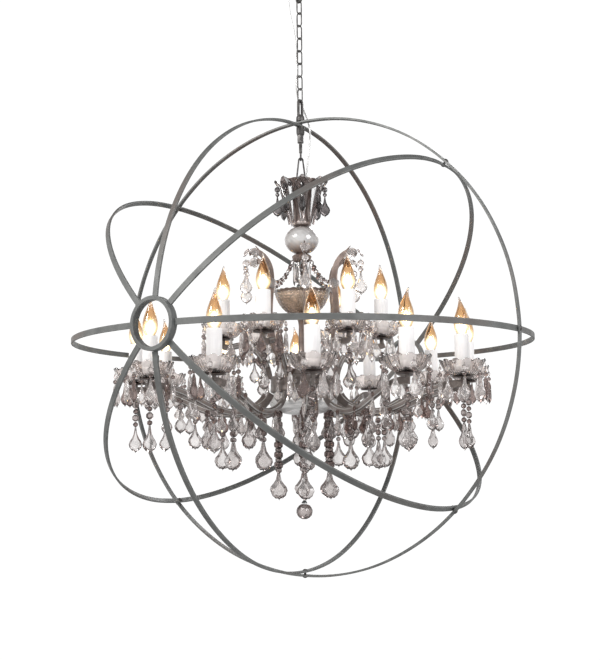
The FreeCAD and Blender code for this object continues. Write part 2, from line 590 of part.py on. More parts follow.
rim = []
for radius, top, n, first in tiers:
    parts = [("bead", 7.0, 13.0), ("bead", 5.6, 12.0), ("drop", 24.0, 52.0)]
    for k in range(n):
        az = first + 360.0 * k / n
        for j in range(PENDANTS_PER_RIM):
            turn = az + 22.5 + 45 * j
            p = ax(az, radius) + ax(turn, 51.0)
            z = ZC + top - 66.5
            pin(p.x, p.y, z - 1.6, z - 6.0)
            z -= 6.02
            for kind, a, b in parts:
                s = bead(a, b, 6, 0.5) if kind == "bead" else drop(a, b, 10.0)
                s.rotate(V(0, 0, 0), V(0, 0, 1), turn)
                rim.append(at(s, p.x, p.y, z))
                z -= b + 0.08
save("rim_pendants", rim)

# Strings of beads, each with a large drop, under the arms; some hang from the
# arms' ends and some along their length.
S12, S13, B15, B18 = ("bead", 6.0, 12.0, 1.0), ("bead", 6.0, 13.0, 1.0), ("bead", 7.0, 15.0, 1.0), ("bead", 8.0, 18.0, 1.0)
arms = []
for radius, z, n, first, parts in (
    (LOWER_R, -121.6, LOWER_N, DELTA, [S13, B18, S13, B18, S13, ("drop", 32.0, 60.0, 14.0)]),
    (330.0, -135.0, LOWER_N, DELTA, [S12, B15, ("drop", 28.0, 52.0, 12.0)]),
    (262.0, -164.0, LOWER_N, DELTA, [B15, S12, ("drop", 34.0, 60.0, 14.0)]),
    (196.0, -180.0, LOWER_N, DELTA, [B15, S13, B15, S13, ("drop", 40.0, 64.0, 16.0)]),
    (122.0, -169.0, LOWER_N, DELTA, [S12, ("drop", 26.0, 50.0, 11.0)]),
    (UPPER_R, -18.0, UPPER_N, DELTA + 30, [S13, B18, S13, ("drop", 30.0, 56.0, 14.0)]),
    (118.0, -31.5, UPPER_N, DELTA + 30, [S12, ("drop", 26.0, 50.0, 11.0)]),
):
    for k in range(n):
        az = first + 360.0 * k / n
        p = ax(az, radius)
        top = ZC + z
        pin(p.x, p.y, top + 1.0, top - 3.0)
        for s in hung(V(0, 0, 0), 0.0, parts):
            s.rotate(V(0, 0, 0), V(0, 0, 1), az)
            arms.append(at(s, p.x, p.y, top - 3.02))
# Pairs along each lower arm, on bent pins from both its faces above the glass.
arm_line = curve_points(rel(LOWER_ARM), 300)
for radius in (165.0, 232.0, 300.0):
    near = min((q[0] for q in arm_line), key=lambda q: abs(q.x - radius))
    for side in (-1, 1):
        z = near.z + 7.6
        hook = bent_pin(2.05, 14.0, -4.5)
        hook.rotate(V(0, 0, 0), V(0, 0, 1), 90 * side)
        pins += ring_of(at(hook, radius, 0, z), LOWER_N, DELTA)
        z -= 4.55
        for b, length in ((bead(6.0, 12.0, 6, 0.6), 12.0), (drop(24.0, 44.0, 7.0), 44.0)):
            arms += ring_of(at(b, radius, side * 14.0, z), LOWER_N, DELTA)
            z -= length + 0.05
# Twelve more round the hub, each on a bent pin from the hub's side.
for k in range(12):
    az = DELTA + 15.0 + 30.0 * k
    p = ax(az, 90.0)
    z = ZC - 85.0
    pins.append(spun(at(bent_pin(80.05, 90.0, -4.5), 0, 0, z), az))
    z -= 4.55
    for s, length in ((bead(6.0, 12.0, 6, 0.5), 12.0), (drop(22.0, 42.0, 8.0), 42.0)):
        s.rotate(V(0, 0, 0), V(0, 0, 1), az)
        arms.append(at(s, p.x, p.y, z))
        z -= length + 0.05
save("arm_pendants", arms)

crowns = []
for k in range(8):
    az = DELTA + 45.0 * k
    p = ax(az, PETAL_TOP[0] + 5.2)
    top = ZC + PETAL_TOP[1] + 0.5
    s1, s2, s3 = bead(7.5, 14.0, 6, 0.6), bead(5.5, 11.0), drop(26.0, 50.0, 10.0)
    z = top
    for s in (s1, s2, s3):
        s.rotate(V(0, 0, 0), V(0, 0, 1), az + 72.0)
        crowns.append(at(s, p.x + ax(az).x * 5, p.y + ax(az).y * 5, z))
        z -= {id(s1): 14.02, id(s2): 11.02, id(s3): 46.0}[id(s)]
for k in range(6):
    az = DELTA + 30.0 + 60.0 * k
    p = ax(az, 19.0)
    pin(p.x, p.y, ZC + 203.0, ZC + 199.3)
    s = drop(12.0, 56.0, 7.0)
    s.rotate(V(0, 0, 0), V(0, 0, 1), az)
    crowns.append(at(s, p.x, p.y, ZC + 199.2))
save("crown_pendants", crowns)

crooks = []
for k in range(6):
    az = DELTA + 60.0 * k
    p = ax(az, 158.5)
    top = ZC + 196.0
    pin(p.x, p.y, top, top - 4.0)
    z = top - 4.02
    for s, step in ((bead(9.0, 15.0, 6, 0.6), 15.02), (bead(7.0, 13.0), 13.02), (drop(30.0, 54.0, 12.0), 54.0)):
        s.rotate(V(0, 0, 0), V(0, 0, 1), az)
        crooks.append(at(s, p.x, p.y, z))
        z -= step
save("crook_pendants", crooks)

swags = []
for k in range(6):
    az = DELTA + 60.0 * k
    a, b = (25.0, 206.0), (74.0, 146.0)
    n = 8
    pts = []
    for i in range(n + 1):
        t = i / n
        r = a[0] + (b[0] - a[0]) * t
        z = a[1] + (b[1] - a[1]) * t - 26.0 * 4 * t * (1 - t) * 0.5
        pts.append(V(r, 0, ZC + z))
    for i, (p, q) in enumerate(zip(pts, pts[1:])):
        d = q - p
        gap = 0.6
        u = V(d.x, d.y, d.z)
        u.normalize()
        s = along(bead(5.4 if i % 2 else 4.4, d.Length - 2 * gap), p + u * gap, q - u * gap)
        swags.append(spun(s, az))
save("bead_swags", swags)

sides = []
for k in range(6):
    az = DELTA + 60.0 * k
    p = ax(az, 71.0)
    top = ZC - 163.2
    pin(p.x, p.y, top, top - 4.0)
    z = top - 4.02
    for i in range(12):
        L = 12.0
        sides.append(at(bead(9.0 if i % 2 == 0 else 7.0, L), p.x, p.y, z))
        z -= L + 0.02
    s = drop(42.0, 62.0, 19.0, 8)
    s.rotate(V(0, 0, 0), V(0, 0, 1), az)
    sides.append(at(s, p.x, p.y, z))
save("side_strings", sides)

save("pendant_pins", pins)

# ------------------------------------------------------------- middle string
string = []
hookwire = 1.2
ring = link(9.0, 9.0, 14.0, 1.0)
HOOK_Z = ZC + DROP_Z            # centre of the hook's lowest wire
ring_top = HOOK_Z + hookwire + 0.25 + 1.0
string.append(at(facing(ring, VIEW_AZ), 0, 0, ring_top - 6.0))
z = ring_top + 1.0 - 14.0 - 0.02
for i in range(9):
    L = 15.0
    string.append(at(bead(6.0 if i % 2 == 0 else 7.5, L), 0, 0, z))
    z -= L + 0.02
s = cut_stone([(-36.0, 1.5), (-17.0, 10.0), (0.0, 1.8)], 8, 0.6)
string.append(at(s, 0, 0, z))
z -= 36.02
save("middle_string", string)
print("middle string hinge z", HOOK_Z, "ends at height", z - ZC)
cap = turned([(0, z - 8.0), (7.0, z - 8.0), (5.0, z - 3.0), (2.0, z), (0, z)])
fb = cut_stone([(z - 8.02 - 38.0, 4.0), (z - 8.02 - 32.0, 13.0), (z - 8.02 - 19.0, 20.0), (z - 8.02 - 6.0, 13.0), (z - 8.02, 7.0)], 10)
save("finial_cap", cap)
save("finial_ball", fb)

# ---------------------------------------------------------------------- cord
UPPER_ROUTE = [(-27, 0, 890.5), (-27, 0, 864), (-22.0, 0.3, 829), (-14, -0.8, 795), (-9.3, -0.4, 757), (-8.4, 0.2, 722)]
MIDDLE_ROUTE = [(-8.4, 0.2, 722), (-7.63, 0.714, 692), (-10.0, -4.0, 658), (-8.0, -12.0, 630), (2.0, -15.5, 606), (13.0, -13.0, 583), (20.0, -8.5, 558)]
LOWER_ROUTE = [(20.0, -8.5, 558), (24.2, -5.8, 543), (23.8, -5.6, 512), (21.0, -6.4, 480), (17.0, -7.4, 448), (14.0, -7.0, 416), (12.8, -5.2, 384), (13.2, -3.0, 352), (13.2, -3.0, 336.05)]
for name, route in (("cord_upper", UPPER_ROUTE), ("cord_middle", MIDDLE_ROUTE), ("cord_lower", LOWER_ROUTE)):
    save(name, cord_tube([uv(*p) for p in route], CORD_D, name))
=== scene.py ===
import bpy
import math
import numpy as np
from mathutils import Matrix, Vector


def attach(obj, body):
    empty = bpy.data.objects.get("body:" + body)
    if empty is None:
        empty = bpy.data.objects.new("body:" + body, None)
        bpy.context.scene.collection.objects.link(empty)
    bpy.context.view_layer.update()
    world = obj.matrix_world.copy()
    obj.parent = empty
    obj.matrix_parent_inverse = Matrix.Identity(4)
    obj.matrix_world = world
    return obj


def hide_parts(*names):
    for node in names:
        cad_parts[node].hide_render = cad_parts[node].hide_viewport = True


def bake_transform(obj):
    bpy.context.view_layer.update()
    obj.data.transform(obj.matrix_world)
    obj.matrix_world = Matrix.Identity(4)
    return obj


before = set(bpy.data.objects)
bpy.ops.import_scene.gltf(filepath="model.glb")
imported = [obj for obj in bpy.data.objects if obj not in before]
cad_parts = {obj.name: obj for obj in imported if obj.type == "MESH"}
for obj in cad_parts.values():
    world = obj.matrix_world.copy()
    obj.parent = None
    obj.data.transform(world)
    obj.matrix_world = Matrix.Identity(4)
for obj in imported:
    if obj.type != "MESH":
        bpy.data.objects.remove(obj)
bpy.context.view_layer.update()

# Shapes are made in millimetres in the model's own frame, and heights marked h
# are above the orb's centre. They become metres when an object is made.
ZC = -935.0
DELTA = 35.7
VIEW_AZ = 32.9
CHAIN_AZ = -12.1
RNG = np.random.default_rng(11)


# ------------------------------------------------------------------ matrices
def shift(x, y, z):
    return np.array([[1, 0, 0, x], [0, 1, 0, y], [0, 0, 1, z], [0, 0, 0, 1]], float)


def turn(axis, degrees):
    return np.array(Matrix.Rotation(math.radians(degrees), 4, Vector(axis)))


def about(az, r=0.0, z=0.0):
    """Puts a shape made with +X outwards at azimuth az (from -Y towards +X)."""
    return turn((0, 0, 1), az - 90.0) @ shift(r, 0, z)


def scaled(x, y=None, z=None):
    return np.diag([x, x if y is None else y, x if z is None else z, 1.0])


# -------------------------------------------------------------------- shapes
class Build:
    """Collects parts: each is (points, faces, marks), where marks is a number per
    point that the materials read: rubbed edges together with a painted edge
    highlight on the metals, a painted highlight on the arm glass, how smoky a
    crystal is, the ball's darkening towards its bottom, and height up a lamp."""

    def __init__(self):
        self.v, self.f, self.a, self.n = [], [], [], 0

    def add(self, part, m=None, mark=None):
        v, f, a = part
        v = np.asarray(v, float)
        if m is not None:
            v = v @ m[:3, :3].T + m[:3, 3]
            if np.linalg.det(m[:3, :3]) < 0:
                f = [q[::-1] for q in f]
        self.v.append(v)
        k = self.n
        self.f += [tuple(i + k for i in q) for q in f]
        self.a.append(np.full(len(v), mark) if mark is not None else np.asarray(a, float))
        self.n += len(v)
        return self

    def part(self):
        return np.concatenate(self.v), self.f, np.concatenate(self.a)

    def make(self, name, material, smooth=None):
        mesh = bpy.data.meshes.new(name)
        v = np.concatenate(self.v)
        mesh.from_pydata((v * 0.001).tolist(), [], self.f)
        at = mesh.attributes.new("mark", "FLOAT", "POINT")
        at.data.foreach_set("value", np.concatenate(self.a).astype(np.float32))
        mesh.validate()
        mesh.update()
        if smooth:
            mesh.shade_smooth()
            mesh.set_sharp_from_angle(angle=math.radians(smooth))
        mesh.materials.append(material)
        obj = bpy.data.objects.new(name, mesh)
        bpy.context.scene.collection.objects.link(obj)
        return obj


def spline(points, count):
    """A natural cubic spline through points, sampled count + 1 times."""
    p = np.array(points, float)
    d = np.linalg.norm(np.diff(p, axis=0), axis=1)
    t = np.concatenate([[0], np.cumsum(d)])
    n = len(p)
    a, b = np.zeros((n, n)), np.zeros(p.shape)
    a[0, 0] = a[-1, -1] = 1
    for i in range(1, n - 1):
        h0, h1 = t[i] - t[i - 1], t[i + 1] - t[i]
        a[i, i - 1], a[i, i], a[i, i + 1] = h0, 2 * (h0 + h1), h1
        b[i] = 6 * ((p[i + 1] - p[i]) / h1 - (p[i] - p[i - 1]) / h0)
    m = np.linalg.solve(a, b)
    out = []
    for s in np.linspace(0, t[-1], count + 1):
        i = min(int(np.searchsorted(t, s, "right")) - 1, n - 2)
        h = t[i + 1] - t[i]
        u, w = (t[i + 1] - s) / h, (s - t[i]) / h
        out.append(u * p[i] + w * p[i + 1] + ((u ** 3 - u) * m[i] + (w ** 3 - w) * m[i + 1]) * h * h / 6)
    return np.array(out)


def lathe(profile, n=48, wave=None, closed=True, marks=None):
    """A profile of (r, z) points turned about Z. wave(angle, r, z, i) bends it."""
    v, f, a, rows = [], [], [], []
    th = np.arange(n) * 2 * math.pi / n
    for i, (r, z) in enumerate(profile):
        mark = marks[i] if marks is not None else 0.0
        if r < 1e-6:
            rows.append([len(v)])
            v.append((0, 0, z))
            a.append(mark)
            continue
        rr, zz = np.full(n, float(r)), np.full(n, float(z))
        if wave:
            rr, zz = wave(th, rr, zz, i)
        rows.append(list(range(len(v), len(v) + n)))
        v += list(zip(rr * np.cos(th), rr * np.sin(th), zz))
        a += [mark] * n
    pairs = list(zip(rows, rows[1:]))
    if closed:
        pairs.append((rows[-1], rows[0]))
    for p, q in pairs:
        if len(p) == 1 and len(q) == 1:
            continue
        for k in range(n):
            j = (k + 1) % n
            if len(p) == 1:
                f.append((p[0], q[j], q[k])[::-1])
            elif len(q) == 1:
                f.append((p[k], p[j], q[0]))
            else:
                f.append((p[k], p[j], q[j], q[k]))
    return outward((np.array(v, float), f, np.array(a, float)))


def outward(part):
    """Turns all faces round if the closed shape is inside out."""
    v, f, a = part
    vol = 0.0
    for q in f:
        for i in range(1, len(q) - 1):
            vol += np.dot(v[q[0]], np.cross(v[q[i]], v[q[i + 1]]))
    if vol < 0:
        f = [q[::-1] for q in f]
    return v, f, a


def tube(line, radius, n=10, closed=False, caps=True, marks=None):
    """A round tube along a line of points; radius may be a list."""
    p = np.array(line, float)
    m = len(p)
    rad = np.full(m, radius, float) if np.isscalar(radius) else np.array(radius, float)
    if closed:
        d = np.roll(p, -1, 0) - np.roll(p, 1, 0)
    else:
        d = np.gradient(p, axis=0)
    d /= np.linalg.norm(d, axis=1)[:, None]
    ref = np.array([0, 0, 1.0]) if abs(d[0][2]) < 0.9 else np.array([1.0, 0, 0])
    x = np.cross(d[0], ref)
    x /= np.linalg.norm(x)
    v, f = [], []
    th = np.arange(n) * 2 * math.pi / n
    for i in range(m):
        x = x - d[i] * np.dot(x, d[i])
        x /= np.linalg.norm(x)
        y = np.cross(d[i], x)
        v.append(p[i] + rad[i] * (np.cos(th)[:, None] * x + np.sin(th)[:, None] * y))
    v = np.concatenate(v)
    for i in range(m if closed else m - 1):
        b = ((i + 1) % m) * n
        for k in range(n):
            j = (k + 1) % n
            f.append((i * n + k, i * n + j, b + j, b + k))
    if closed:
        # the frame may have turned on its way round: join to the nearest point
        turn_by = int(np.argmin(np.linalg.norm(v[:n] - v[(m - 1) * n], axis=1)))
        f = f[:-n]
        for k in range(n):
            j = (k + 1) % n
            f.append(((m - 1) * n + k, (m - 1) * n + j, (j + turn_by) % n, (k + turn_by) % n))
    elif caps:
        f.append(tuple(range(n))[::-1])
        f.append(tuple(range((m - 1) * n, m * n)))
    a = np.zeros(len(v)) if marks is None else np.repeat(marks, n)
    return outward((v, f, a))


def bar(line, wide, thick, w, t, bevel=0.7, edge=1.6, closed=False):
    """A flat bar of w by t along a line; wide and thick are unit directions at
    each point. Marks are 1 along its corners and 0.35 down its narrow sides:
    there the metals paint rubbed edges together with a painted edge highlight,
    and the arm glass a painted highlight."""
    a, b, c, e = w / 2, t / 2, bevel, edge
    sec = [(-a + c + e, b, 0), (0, b, 0), (a - c - e, b, 0), (a - c, b, 1), (a, b - c, 1), (a, 0, 0.35), (a, -b + c, 1),
           (a - c, -b, 1), (a - c - e, -b, 0), (0, -b, 0), (-a + c + e, -b, 0), (-a + c, -b, 1), (-a, -b + c, 1),
           (-a, 0, 0.35), (-a, b - c, 1), (-a + c, b, 1)]
    n, m = len(sec), len(line)
    v = np.concatenate([line[i] + np.array([wide[i] * s[0] + thick[i] * s[1] for s in sec]) for i in range(m)])
    f = []
    for i in range(m if closed else m - 1):
        q = ((i + 1) % m) * n
        for k in range(n):
            j = (k + 1) % n
            f.append((i * n + k, i * n + j, q + j, q + k))
    if not closed:
        f.append(tuple(range(n))[::-1])
        f.append(tuple(range((m - 1) * n, m * n)))
    return outward((v, f, np.tile([s[2] for s in sec], m).astype(float)))


def arm_bar(points, w, t, first=0.0, last=1.0, y=0.0, count=72, taper=None, bevel=0.6, edge=1.2):
    """A strap on edge along (r, h) points: its width in the arm's own plane."""
    p = spline([(r, ZC + h) for r, h in points], count)
    p = p[int(round(first * count)):int(round(last * count)) + 1]
    line = np.stack([p[:, 0], np.full(len(p), y), p[:, 1]], 1)
    d = np.gradient(p, axis=0)
    d /= np.linalg.norm(d, axis=1)[:, None]
    wide = np.stack([d[:, 1], np.zeros(len(p)), -d[:, 0]], 1)
    thick = np.tile([0, 1.0, 0], (len(p), 1))
    if taper:
        wide = wide * np.array([taper(s) for s in np.linspace(first, last, len(p))])[:, None]
    return bar(line, wide, thick, w, t, bevel, edge)


def stone(levels, n=8, flat=1.0, star=True, phase=0.0):
    """A cut crystal: rings of n points at (z, r) levels joined by triangles; every
    second ring is turned half a step, which gives lozenge facets."""
    v, f = [], []
    for i, (z, r) in enumerate(levels):
        off = phase + (0.5 if star and i % 2 else 0.0)
        for k in range(n):
            t = 2 * math.pi * (k + off) / n
            v.append((r * math.cos(t), flat * r * math.sin(t), z))
    for i in range(len(levels) - 1):
        p, q = i * n, (i + 1) * n
        for k in range(n):
            j = (k + 1) % n
            if not star:
                f.append((p + k, p + j, q + j, q + k))
            elif i % 2 == 0:
                f += [(p + k, p + j, q + k), (p + j, q + j, q + k)]
            else:
                f += [(p + k, p + j, q + j), (p + k, q + j, q + k)]
    f.append(tuple(range(n))[::-1])
    f.append(tuple(range((len(levels) - 1) * n, len(levels) * n)))
    return outward((np.array(v), f, np.zeros(len(v))))


def octagon(r, t, n=8):
    """A flat octagon bead standing on edge: its faces look along X."""
    part = stone([(-t / 2, r * 0.52), (-t * 0.14, r), (t * 0.14, r), (t / 2, r * 0.52)], n, 1.0, False, 0.5)
    v, f, a = part
    return outward((np.stack([v[:, 2], v[:, 0], v[:, 1]], 1), f, a))


def round_bead(r, n=8):
    return stone([(-r * 0.92, r * 0.3), (-r * 0.55, r * 0.82), (0, r), (r * 0.55, r * 0.82), (r * 0.92, r * 0.3)], n)


def almond(w, length, t, n=8):
    """A cut drop hanging from z = 0, widest low down, its edge facing sideways."""
    r = w / 2
    v, f, a = stone([(-length, r * 0.05), (-length * 0.86, r * 0.62), (-length * 0.66, r), (-length * 0.42, r * 0.72),
                     (-length * 0.18, r * 0.34), (0, r * 0.14)], n, t / w, True, 0.0)
    return np.stack([v[:, 1], v[:, 0], v[:, 2]], 1), [q[::-1] for q in f], a


def leaf(w, length, t, lobes=3):
    """A leaf pendant hanging from z = 0: a notched outline, a raised middle and
    facets that run out to the points. Its faces look along X."""
    half = [(0.05, 0.0), (0.17, -0.05), (0.24, -0.18), (0.40, -0.30), (0.72, -0.42), (0.58, -0.52), (1.0, -0.66), (0.70, -0.74), (0.62, -0.90), (0.30, -0.86), (0.0, -1.0)]
    out = [(x, z) for x, z in half] + [(-x, z) for x, z in half[-2::-1]]
    m = len(out)
    edge = 0.10 * t
    v = [(edge, x * w / 2, z * length) for x, z in out] + [(-edge, x * w / 2, z * length) for x, z in out]
    mids = [(0.30, -0.10), (0.62, -0.36), (1.0, -0.62), (0.55, -0.84)]
    base = len(v)
    for s in (1, -1):
        v += [(s * t / 2 * h, 0, z * length) for h, z in mids]
    f = []
    for k in range(m - 1):
        f.append((k, k + 1, m + k + 1, m + k))
    f.append((m - 1, 0, m, 2 * m - 1))

    def near(z):
        return int(np.argmin([abs(z - q[1]) for q in mids]))
    for s, off, b in ((1, 0, base), (-1, m, base + len(mids))):
        for k in range(m):
            j = (k + 1) % m
            p, q = near(out[k][1]), near(out[j][1])
            tri = [(off + k, off + j, b + p)]
            if p != q:
                tri = [(off + k, off + j, b + p), (off + j, b + q, b + p)]
            for x in tri:
                f.append(x if s < 0 else x[::-1])
    return outward((np.array(v, float), f, np.zeros(len(v))))


def plate(outline, w, length, t, centre=(0.0, -0.60), table=0.70, edge=0.22):
    """A cut plate pendant hanging from z = 0, its faces looking along X. outline
    runs down one side as (half width, height) fractions. Each face has a wide,
    slightly raised table in the middle and bevels out to the notched edge."""
    out = list(outline) + [(-x, z) for x, z in outline[-2::-1]]
    if outline[0][0] == 0:
        out = out[:-1]
    m = len(out)
    cx, cz = centre
    v, f = [], []
    for s in (1, -1):
        for x, z in out:
            v.append((s * edge * t / 2, x * w / 2, z * length))
        for k, (x, z) in enumerate(out):
            q = table * (1.0 if k % 2 == 0 else 0.97)
            v.append((s * t / 2 * 0.96, (cx + (x - cx) * q) * w / 2, (cz + (z - cz) * q) * length))
        v.append((s * t / 2, cx * w / 2, (cz - 0.04) * length))
    n = 2 * m + 1
    for k in range(m):
        j = (k + 1) % m
        for s, o in ((1, 0), (-1, n)):
            tri = [(o + k, o + j, o + m + k), (o + j, o + m + j, o + m + k), (o + m + k, o + m + j, o + 2 * m)]
            for x in tri:
                f.append(x if s < 0 else x[::-1])
        f.append((k, j, n + j, n + k))
    return outward((np.array(v, float), f, np.zeros(len(v))))


KITE = [(0.12, 0.0), (0.18, -0.12), (0.28, -0.28), (0.52, -0.43), (0.84, -0.56), (1.0, -0.68), (0.88, -0.80), (0.56, -0.91), (0.0, -1.0)]
FAN = [(0.10, 0.0), (0.18, -0.14), (0.30, -0.30), (0.58, -0.44), (0.92, -0.57), (1.0, -0.69), (0.86, -0.78), (0.80, -0.86), (0.56, -0.92), (0.40, -0.97), (0.22, -0.96), (0.0, -1.0)]
SPEAR = [(0.20, 0.0), (0.42, -0.08), (0.62, -0.22), (0.80, -0.42), (1.0, -0.66), (0.72, -0.82), (0.0, -1.0)]


def kite_drop(w, length, t):
    return plate(KITE, w, length, t)


def shell_drop(w, length, t):
    return plate(FAN, w, length, t, (0.0, -0.64), 0.70)


def spear_drop(w, length, t):
    return plate(SPEAR, w, length, t, (0.0, -0.60), 0.60)


def link_line(width_low, width_high, length, wire, n=14):
    """The centre line of a closed wire link in the XZ plane round the origin."""
    rl, rh = width_low / 2 - wire, width_high / 2 - wire
    zl, zh = -(length / 2 - wire - rl), length / 2 - wire - rh
    tilt = 0.0 if abs(rl - rh) < 1e-6 else math.asin((rl - rh) / (zh - zl))
    out = []
    for i in range(n + 1):
        t = tilt + (math.pi - 2 * tilt) * i / n
        out.append((rh * math.cos(t), 0, zh + rh * math.sin(t)))
    side = [np.array(out[-1]) * (1 - q) + np.array((-rl * math.cos(tilt), 0, zl + rl * math.sin(tilt))) * q for q in (0.2, 0.4, 0.6, 0.8)]
    out += [tuple(q) for q in side]
    for i in range(n + 1):
        t = math.pi - tilt + (math.pi + 2 * tilt) * i / n
        out.append((rl * math.cos(t), 0, zl + rl * math.sin(t)))
    side = [np.array(out[-1]) * (1 - q) + np.array(out[0]) * q for q in (0.2, 0.4, 0.6, 0.8)]
    return np.array(out + [tuple(q) for q in side], float)


def facing(degrees, x=0.0, y=0.0, z=0.0):
    return shift(x, y, z) @ turn((0, 0, 1), degrees)


def wire_ring(x, y, z, r=2.6, wire=0.42, az=0.0):
    """A small wire ring, standing upright, that joins two crystals."""
    th = np.arange(10) * 2 * math.pi / 10
    line = np.stack([r * np.cos(th), np.zeros(10), r * 1.25 * np.sin(th)], 1)
    v, f, a = tube(line, wire, 5, True)
    return v @ turn((0, 0, 1), az)[:3, :3].T + np.array([x, y, z]), f, a


# ----------------------------------------------------------------- materials
def new_material(name):
    m = bpy.data.materials.new(name)
    m.use_nodes = True
    nt = m.node_tree
    return m, nt, nt.nodes["Principled BSDF"]


def node(nt, kind, **inputs):
    n = nt.nodes.new(kind)
    for k, x in inputs.items():
        n.inputs[k.replace("_", " ")].default_value = x
    return n


def coords(nt, scale=(1, 1, 1)):
    t = nt.nodes.new("ShaderNodeTexCoord")
    m = nt.nodes.new("ShaderNodeMapping")
    m.inputs["Scale"].default_value = scale
    nt.links.new(t.outputs["Object"], m.inputs["Vector"])
    return m.outputs["Vector"]


def noise(nt, vec, scale, detail=4.0, rough=0.55, distort=0.0):
    n = node(nt, "ShaderNodeTexNoise", Scale=scale, Detail=detail, Roughness=rough, Distortion=distort)
    nt.links.new(vec, n.inputs["Vector"])
    return n.outputs["Fac"]


def ramp(nt, fac, stops):
    r = nt.nodes.new("ShaderNodeValToRGB")
    el = r.color_ramp.elements
    while len(el) < len(stops):
        el.new(0.5)
    for e, (pos, col) in zip(el, stops):
        e.position = pos
        e.color = (*col, 1) if len(col) == 3 else col
    nt.links.new(fac, r.inputs["Fac"])
    return r.outputs["Color"]


def spread(nt, fac, lo, hi, a=0.0, b=1.0):
    n = nt.nodes.new("ShaderNodeMapRange")
    n.inputs["From Min"].default_value, n.inputs["From Max"].default_value = a, b
    n.inputs["To Min"].default_value, n.inputs["To Max"].default_value = lo, hi
    nt.links.new(fac, n.inputs["Value"])
    return n.outputs["Result"]


def mark_of(nt):
    n = nt.nodes.new("ShaderNodeAttribute")
    n.attribute_name = "mark"
    return n.outputs["Fac"]


def mix(nt, fac, a, b, kind="MIX"):
    n = nt.nodes.new("ShaderNodeMix")
    n.data_type = "RGBA"
    n.blend_type = kind
    for sock, val in ((0, fac), (6, a), (7, b)):
        if hasattr(val, "is_output"):
            nt.links.new(val, n.inputs[sock])
        elif sock == 0:
            n.inputs[0].default_value = val
        else:
            n.inputs[sock].default_value = (*val, 1)
    return n.outputs[2]


def times(nt, a, b):
    n = nt.nodes.new("ShaderNodeMath")
    n.operation = "MULTIPLY"
    nt.links.new(a, n.inputs[0])
    if hasattr(b, "is_output"):
        nt.links.new(b, n.inputs[1])
    else:
        n.inputs[1].default_value = b
    return n.outputs[0]


def bump(nt, height, strength, distance, bsdf):
    b = nt.nodes.new("ShaderNodeBump")
    b.inputs["Strength"].default_value = strength
    b.inputs["Distance"].default_value = distance
    nt.links.new(height, b.inputs["Height"])
    nt.links.new(b.outputs["Normal"], bsdf.inputs["Normal"])


def metal(name, dark, mid, light, metallic=0.6, rough=(0.4, 0.62), scale=30.0, edge_wear_and_highlight=None, pit=0.25, stretch=(1, 1, 1), brown=None, grain=0.2):
    m, nt, b = new_material(name)
    vec = coords(nt, stretch)
    big = noise(nt, vec, scale, 6, 0.6, 0.3)
    col = ramp(nt, big, [(0.30, dark), (0.52, mid), (0.74, light)])
    fine = noise(nt, vec, scale * 14, 4, 0.6)
    if brown:
        place = ramp(nt, noise(nt, coords(nt), 2.3, 2, 0.5), [(0.52, (0, 0, 0)), (0.66, (1, 1, 1))])
        col = mix(nt, place, col, brown)
    # Corner colour on the marked edges: partly rubbed paint, partly a painted edge highlight.
    if edge_wear_and_highlight:
        worn_and_lit_edges = times(nt, mark_of(nt), spread(nt, noise(nt, vec, scale * 5, 4, 0.6), 0.0, 1.0, 0.38, 0.62))
        col = mix(nt, worn_and_lit_edges, col, edge_wear_and_highlight)
    speck = ramp(nt, fine, [(0.35, (1 - grain,) * 3), (0.65, (1 + grain / 2,) * 3)])
    col = mix(nt, 1.0, col, speck, "MULTIPLY")
    nt.links.new(col, b.inputs["Base Color"])
    b.inputs["Metallic"].default_value = metallic
    nt.links.new(spread(nt, big, rough[1], rough[0], 0.3, 0.7), b.inputs["Roughness"])
    bump(nt, fine, pit, 0.0004, b)
    return m


def glass(name, clear, edge, rough=0.015, ior=1.52, facing_mix=0.35, wave=0.0, wave_scale=60.0, dark=None, through=1.0, crisp=False, cloudy=0.9, coat=0.0, depth=0.001):
    """Clear glass: its body colour with small changes from place to place, and a
    deeper colour towards the edges, where the light goes through more glass. With
    dark, the mark carries each stone from clear (0) to smoky (1), makes the
    silvered ball darker and browner towards its bottom, and on the arm glass bars,
    marked along their corners, paints a light line there: a painted highlight."""
    m, nt, b = new_material(name)
    vec = coords(nt)
    lw = node(nt, "ShaderNodeLayerWeight", Blend=facing_mix)
    cloud = noise(nt, vec, 55.0, 3, 0.5)
    body = ramp(nt, cloud, [(0.34, tuple(cloudy * c for c in clear)), (0.66, clear)])
    side = ramp(nt, lw.outputs["Facing"], [(0.04, (0, 0, 0)), (0.42, (1, 1, 1))]) if crisp else lw.outputs["Facing"]
    col = mix(nt, side, body, edge)
    if dark:
        mark_colour = mix(nt, side, dark, tuple(0.3 * c for c in dark))
        col = mix(nt, mark_of(nt), col, mark_colour)
    nt.links.new(col, b.inputs["Base Color"])
    b.inputs["Transmission Weight"].default_value = through
    b.inputs["IOR"].default_value = ior
    if rough > 0.05:
        nt.links.new(spread(nt, cloud, rough * 0.8, rough * 1.2, 0.3, 0.7), b.inputs["Roughness"])
    else:
        b.inputs["Roughness"].default_value = rough
    if wave:
        bump(nt, noise(nt, vec, wave_scale, 2, 0.5), wave, depth, b)
    if coat:
        b.inputs["Coat Weight"].default_value = coat
        b.inputs["Coat Roughness"].default_value = 0.12
    return m
